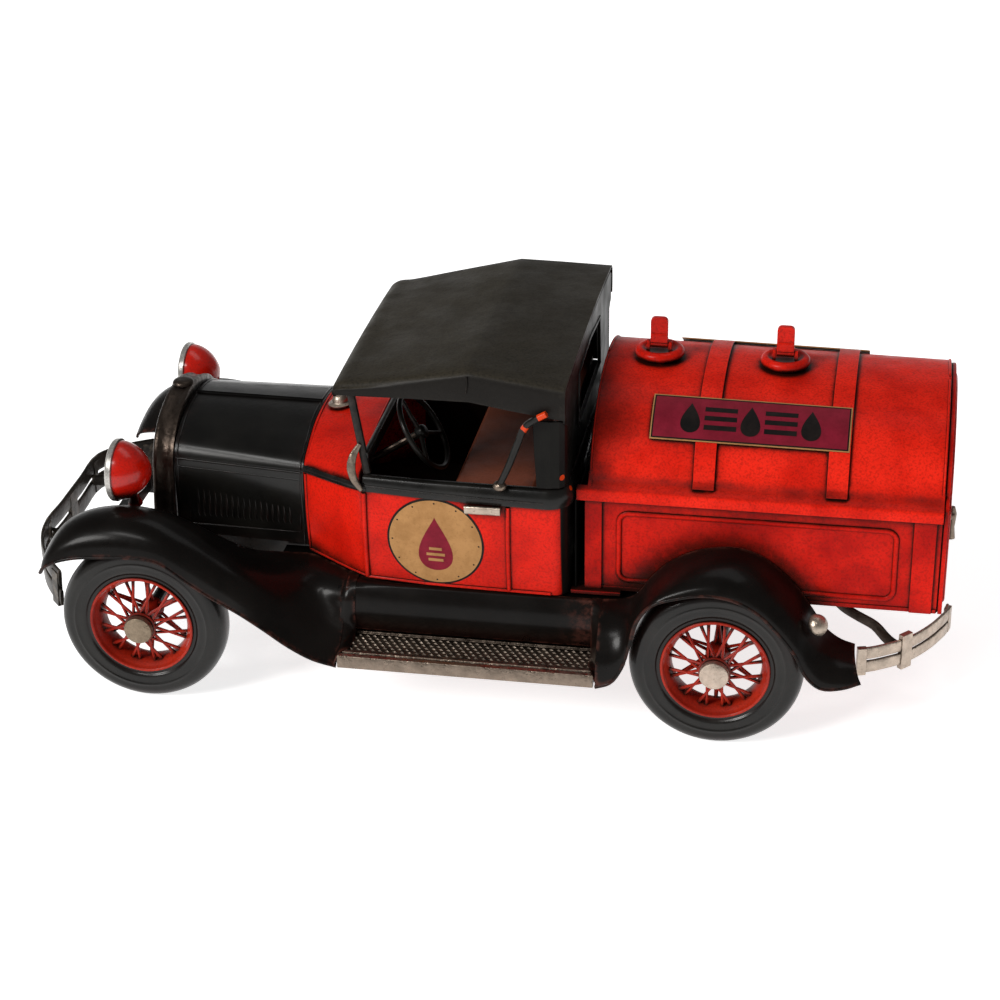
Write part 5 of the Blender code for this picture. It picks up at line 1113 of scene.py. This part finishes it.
rb_path = [(146.4, -46.0), (150.0, -45.0), (156.6, -41.2), (162.3, -36.0), (168.6, -28.2), (173.4, -19.6), (176.2, -11.8), (176.0, -9.6)]
bits = []
for zc in (24.2, 29.4):
    path = spline([(x, y, zc + (0.5 if abs(y) > 40 else 0.0)) for x, y in rb_path], 4)
    bits.append(bar(path, 2.35, 0.7, (0, 0, 1), 14))
for i, h in ((3, 6.6), (0, 5.2), (6, 4.6)):
    x, y = rb_path[i]
    a, b = rb_path[max(i - 1, 0)], rb_path[min(i + 1, len(rb_path) - 1)]
    d = Vector((b[0] - a[0], b[1] - a[1], 0)).normalized() * (2.4 if i == 3 else 1.6)
    if i == 0:
        x, y = x + d.x, y + d.y
    bits.append(bar([(x - d.x, y - d.y, 26.9), (x + d.x, y + d.y, 26.9)], h, 1.1, (0, 0, 1)))
arm = bar(spline([(160.6, -35.2, 27.0), (156.4, -34.6, 29.6), (151.6, -33.6, 34.2), (146.0, -31.6, 36.2), (140.4, -28.4, 37.8),
                  (136.0, -25.4, 40.6)], 4), 1.9, 0.7, (0, 0, 1), 12)
for side, fix in (("left", lambda s: s), ("right", lambda s: shifted(flip(s), -5.6))):
    piece(f"fine_rear_bumperette_{side}", fix(gather(*bits)), silver, nodes=[f"rear_bumperette_{side}"], angle=40, bevel=0.25)
    piece(f"bumperette_arm_{side}", fix(arm), shell_metal, angle=40)

# ---------------------------------------------------------------- lamps and handles
lx, ly, lz = LAMP
bowl = revolve(soft([(0, 12.0), (2.6, 11.6), (5.0, 10.3), (7.6, 8.0), (9.4, 5.2), (10.3, 2.4), (10.4, 0.6)], 4)
               + [(9.3, 0.6)] + soft([(9.1, 2.4), (7.8, 5.6), (4.8, 8.4), (0, 9.6)], 3), 56, (lx, -ly, lz), (1, 0, 0))
post = tube([(lx + 5.0, -ly + 1.6, 65.6), (lx + 5.0, -ly + 0.8, 68.4), (lx + 5.0, -ly, 71.6)], [2.6, 1.7, 2.2], 16)
rim_l = revolve(soft([(0, -1.9), (5.0, -1.6), (9.0, -0.6), (9.5, -1.0), (10.3, -1.2), (10.85, -0.6), (10.85, 0.4)], 3) + [(0, 0.4)], 64,
                (lx, -ly, lz), (1, 0, 0))
for side, fix in (("left", lambda s: s), ("right", flip)):
    piece(f"fine_headlamp_shell_{side}", fix(gather(bowl, post)), red_lamp, nodes=[f"headlamp_shell_{side}"], angle=45)
    piece(f"fine_headlamp_rim_{side}", fix(rim_l), lens_mat, nodes=[f"headlamp_rim_{side}"], angle=35)
    band = revolve([(10.5, -0.6), (10.95, -0.5), (11.0, 0.9), (10.5, 1.1)], 64, (lx, -ly, lz), (1, 0, 0))
    piece(f"headlamp_band_{side}", fix(band), lens_mat, angle=50)

n_tail = Vector((0.72, -0.35, 0.6)).normalized()
tail = revolve(soft([(0, 0.7), (3.0, 0.7), (3.7, 1.5), (3.5, 3.0), (2.4, 4.5), (0, 5.2)], 4), 36, (131.6, -57.6, 45.6), n_tail)
piece("fine_tail_lamp", tail, silver, nodes=["tail_lamp"], angle=50)
grip = bar(spline([(14.2, -56.2, 79.6), (18.0, -56.5, 79.8), (22.0, -56.65, 79.9), (26.4, -56.8, 80.0)], 4), 1.45, 0.75, (0, 0, 1), 16)
lug = bar([(23.3, -55.45, 79.8), (25.4, -55.5, 79.8)], 1.0, 0.9, (0, 0, 1))
for side, fix in (("left", lambda s: s), ("right", flip)):
    piece(f"fine_door_handle_{side}", fix(gather(grip, lug)), silver, nodes=[f"door_handle_{side}"], angle=50)


# ---------------------------------------------------------------- printed labels (plain shapes, no words)
def patch(outline, place, rings=10):
    """A thin printed patch: an outline filled from its middle and laid on a surface by place(u, v)."""
    n = len(outline)
    cu, cv = sum(p[0] for p in outline) / n, sum(p[1] for p in outline) / n
    v = [tuple(place(cu, cv))]
    for j in range(1, rings + 1):
        v += [tuple(place(cu + (u - cu) * j / rings, cv + (w - cv) * j / rings)) for u, w in outline]
    f = [(0, 1 + k, 1 + (k + 1) % n) for k in range(n)]
    for j in range(1, rings):
        a, b = 1 + (j - 1) * n, 1 + j * n
        f += [(a + k, b + k, b + (k + 1) % n, a + (k + 1) % n) for k in range(n)]
    return v, f


def circle(r, n=72, cu=0.0, cv=0.0):
    return [(cu + r * math.cos(2 * math.pi * k / n), cv + r * math.sin(2 * math.pi * k / n)) for k in range(n)]


def drop(size, cu=0.0, cv=0.0, n=48):
    """A plain liquid drop, point up."""
    out = []
    for k in range(n):
        a = 2 * math.pi * k / n
        u = size * math.sin(a) * (math.sin(a / 2)) ** 1.4
        out.append((cu - u, cv + size * 1.25 * math.cos(a)))
    return out


def on_door(off, side=-1):
    cx, cz = 3.2, 64.6
    return lambda u, w: (cx + u, side * (cab_half(cx + u, min(cz + w, CAB_Z1)) + off), cz + w)


for side, s in (("left", -1), ("right", 1)):
    piece(f"door_label_edge_{side}", patch(circle(16.9), on_door(0.10, s), 12), ink, angle=80)
    piece(f"door_label_{side}", patch(circle(16.2), on_door(0.16, s), 12), cream, angle=80)
    dots = [patch(circle(0.33, 8, 15.1 * math.cos(2 * math.pi * k / 12), 15.1 * math.sin(2 * math.pi * k / 12)), on_door(0.2, s), 1)
            for k in range(12)]
    ring_dots = gather(*dots)
    piece(f"door_label_dots_{side}", ring_dots, ink, angle=80)
    piece(f"door_label_drop_{side}", patch(drop(8.4, 0, -0.6), on_door(0.22, s), 8), plum, angle=80)
    bars = gather(*[patch([(-l, h - 0.55), (l, h - 0.55), (l, h + 0.55), (-l, h + 0.55)], on_door(0.28, s), 4)
                    for l, h in ((2.2, -2.4), (3.2, -4.6), (2.6, -6.8))])
    piece(f"door_label_bars_{side}", bars, cream, angle=80)


def on_tank(off, side=-1):
    """u runs along the truck, w up the slope (0 at the lower edge)."""
    def place(u, w):
        x = (106.85 if side < 0 else 110.4) + u
        lift = 1.28
        steps = 60
        pts = tank_half(x, lift + off, steps, foot=False)
        total = 0.0
        start = 39.3 if side < 0 else 40.7
        for a, b in zip(pts, pts[1:]):
            if a[0] > start:
                last = a
                continue
            step = math.hypot(b[0] - a[0], b[1] - a[1])
            if total + step >= w:
                g = (w - total) / step if step else 0.0
                return x, side * (a[0] + (b[0] - a[0]) * g), a[1] + (b[1] - a[1]) * g
            total += step
        return x, 0.0, pts[-1][1]
    return place


def rect(u0, u1, w0, w1, nu=44, nw=10):
    out = [(u0 + (u1 - u0) * k / nu, w0) for k in range(nu)] + [(u1, w0 + (w1 - w0) * k / nw) for k in range(nw)]
    out += [(u1 - (u1 - u0) * k / nu, w1) for k in range(nu)] + [(u0, w1 - (w1 - w0) * k / nw) for k in range(nw)]
    return out


def laid(u0, u1, w0, w1, off, side, nu=66, nw=8):
    place = on_tank(off, side)
    v = [tuple(place(u0 + (u1 - u0) * i / nu, w0 + (w1 - w0) * j / nw)) for i in range(nu + 1) for j in range(nw + 1)]
    f = [(i * (nw + 1) + j, (i + 1) * (nw + 1) + j, (i + 1) * (nw + 1) + j + 1, i * (nw + 1) + j + 1) for i in range(nu) for j in range(nw)]
    return v, f


L, H = 33.0, 17.4
for side, s in (("left", -1), ("right", 1)):
    place = on_tank(0.0, s)
    grid = [[place(-L + 2 * L * i / 40, H * j / 10) for j in range(11)] for i in range(41)]
    piece(f"tank_label_edge_{side}", sheet(grid, 0.35, -float(s)), cream, angle=40)
    piece(f"tank_label_line_{side}", laid(-L + 0.4, L - 0.4, 0.4, H - 0.4, 0.04, s), ink, angle=80)
    piece(f"tank_label_{side}", laid(-L + 0.9, L - 0.9, 0.9, H - 0.9, 0.08, s), plum, angle=80)
    marks = [patch(drop(4.6, c, H / 2, 36), on_tank(0.14, s), 6) for c in (-20.0, 0.0, 20.0)]
    marks += [laid(c - 5.4, c + 5.4, h - 0.9, h + 0.9, 0.14, s, 16, 2) for c in (-10.0, 10.0) for h in (5.2, 8.7, 12.2)]
    piece(f"tank_label_marks_{side}", gather(*marks), ink, angle=80)

# ---------------------------------------------------------------- carried-over pieces
for name, mat in (("chassis_frame", black), ("front_axle", black), ("rear_axle", black), ("cab_back_panel", black_back),
                  ("seat", brown), ("steering_column", shell_metal)):
    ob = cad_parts[name]
    ob.data.materials.clear()
    ob.data.materials.append(mat)
    for p in ob.data.polygons:
        p.material_index = 0
    w = ob.modifiers.new("weld", "WELD")
    w.merge_threshold = 0.000001
    b = ob.modifiers.new("soft_edges", "BEVEL")
    b.width = 0.0003
    b.segments = 2
    b.limit_method = "ANGLE"
    b.angle_limit = math.radians(35)

# ---------------------------------------------------------------- stage, lights, camera
floor = bpy.data.meshes.new("stage_floor")
floor.from_pydata([(-60, -60, -0.0002), (60, -60, -0.0002), (60, 60, -0.0002), (-60, 60, -0.0002)], [], [(0, 1, 2, 3)])
t = Tree("stage_white")
t.finish(t.mix(t.noise(3.0, 2.0), (0.93, 0.93, 0.93), (0.95, 0.95, 0.95)), 0.6, 0.0, 0.0, 0.2, 0.2)
t.bsdf.inputs["Emission Color"].default_value = (1.0, 1.0, 1.0, 1.0)
t.bsdf.inputs["Emission Strength"].default_value = 0.78
floor.materials.append(t.mat)
floor_ob = bpy.data.objects.new("stage_floor", floor)
bpy.context.scene.collection.objects.link(floor_ob)

world = bpy.data.worlds.new("studio")
bpy.context.scene.world = world
world.use_nodes = True
world.node_tree.nodes["Background"].inputs["Color"].default_value = (1.0, 1.0, 1.0, 1.0)
world.node_tree.nodes["Background"].inputs["Strength"].default_value = 0.15


def area(name, at, to, size, power, color=(1, 1, 1)):
    data = bpy.data.lights.new(name, "AREA")
    data.shape = "RECTANGLE"
    data.size, data.size_y = size
    data.energy = power
    data.color = color
    ob = bpy.data.objects.new(name, data)
    ob.location = at
    ob.rotation_euler = (Vector(to) - Vector(at)).to_track_quat("-Z", "Y").to_euler()
    bpy.context.scene.collection.objects.link(ob)
    return ob


def sun(name, towards, strength, angle, color=(1, 1, 1)):
    data = bpy.data.lights.new(name, "SUN")
    data.energy = strength
    data.angle = math.radians(angle)
    data.color = color
    ob = bpy.data.objects.new(name, data)
    ob.rotation_euler = (-Vector(towards)).to_track_quat("-Z", "Y").to_euler()
    bpy.context.scene.collection.objects.link(ob)


sun("key_sun", (-0.58, -0.62, 0.54), 1.95, 20.0, (1.0, 0.985, 0.96))
area("window_light", (-0.36, -0.60, 0.80), (-0.08, 0, 0.07), (0.30, 0.10), 1.2, (1.0, 0.99, 0.97))
area("back_light", (-0.3, 1.5, 0.45), (-0.02, 0, 0.06), (2.0, 0.5), 1.3)
area("top_light", (0.15, 0.25, 1.1), (0, 0, 0.05), (0.9, 0.35), 1.2)

az, el, roll = (math.radians(a) for a in (10.494, 26.77, -0.872))
back = Vector((math.sin(az) * math.cos(el), -math.cos(az) * math.cos(el), math.sin(el)))
right = (-back).cross(Vector((0, 0, 1))).normalized()
up = right.cross(-back)
r2 = right * math.cos(roll) + up * math.sin(roll)
u2 = -right * math.sin(roll) + up * math.cos(roll)
at = Vector((156.1 + X_SHIFT, -756.9, 443.6)) * MM
cam = bpy.data.cameras.new("photo_camera")
cam.lens = 86.447
cam.sensor_width = 36.0
cam.clip_start = 0.05
cam.clip_end = 200.0
cam_ob = bpy.data.objects.new("photo_camera", cam)
cam_ob.matrix_world = Matrix(((r2.x, u2.x, back.x, at.x), (r2.y, u2.y, back.y, at.y), (r2.z, u2.z, back.z, at.z), (0, 0, 0, 1)))
bpy.context.scene.collection.objects.link(cam_ob)
bpy.context.scene.camera = cam_ob

scene = bpy.context.scene
scene.view_settings.view_transform = "Standard"
scene.view_settings.look = "None"
scene.view_settings.exposure = 0.0
scene.view_settings.gamma = 1.0
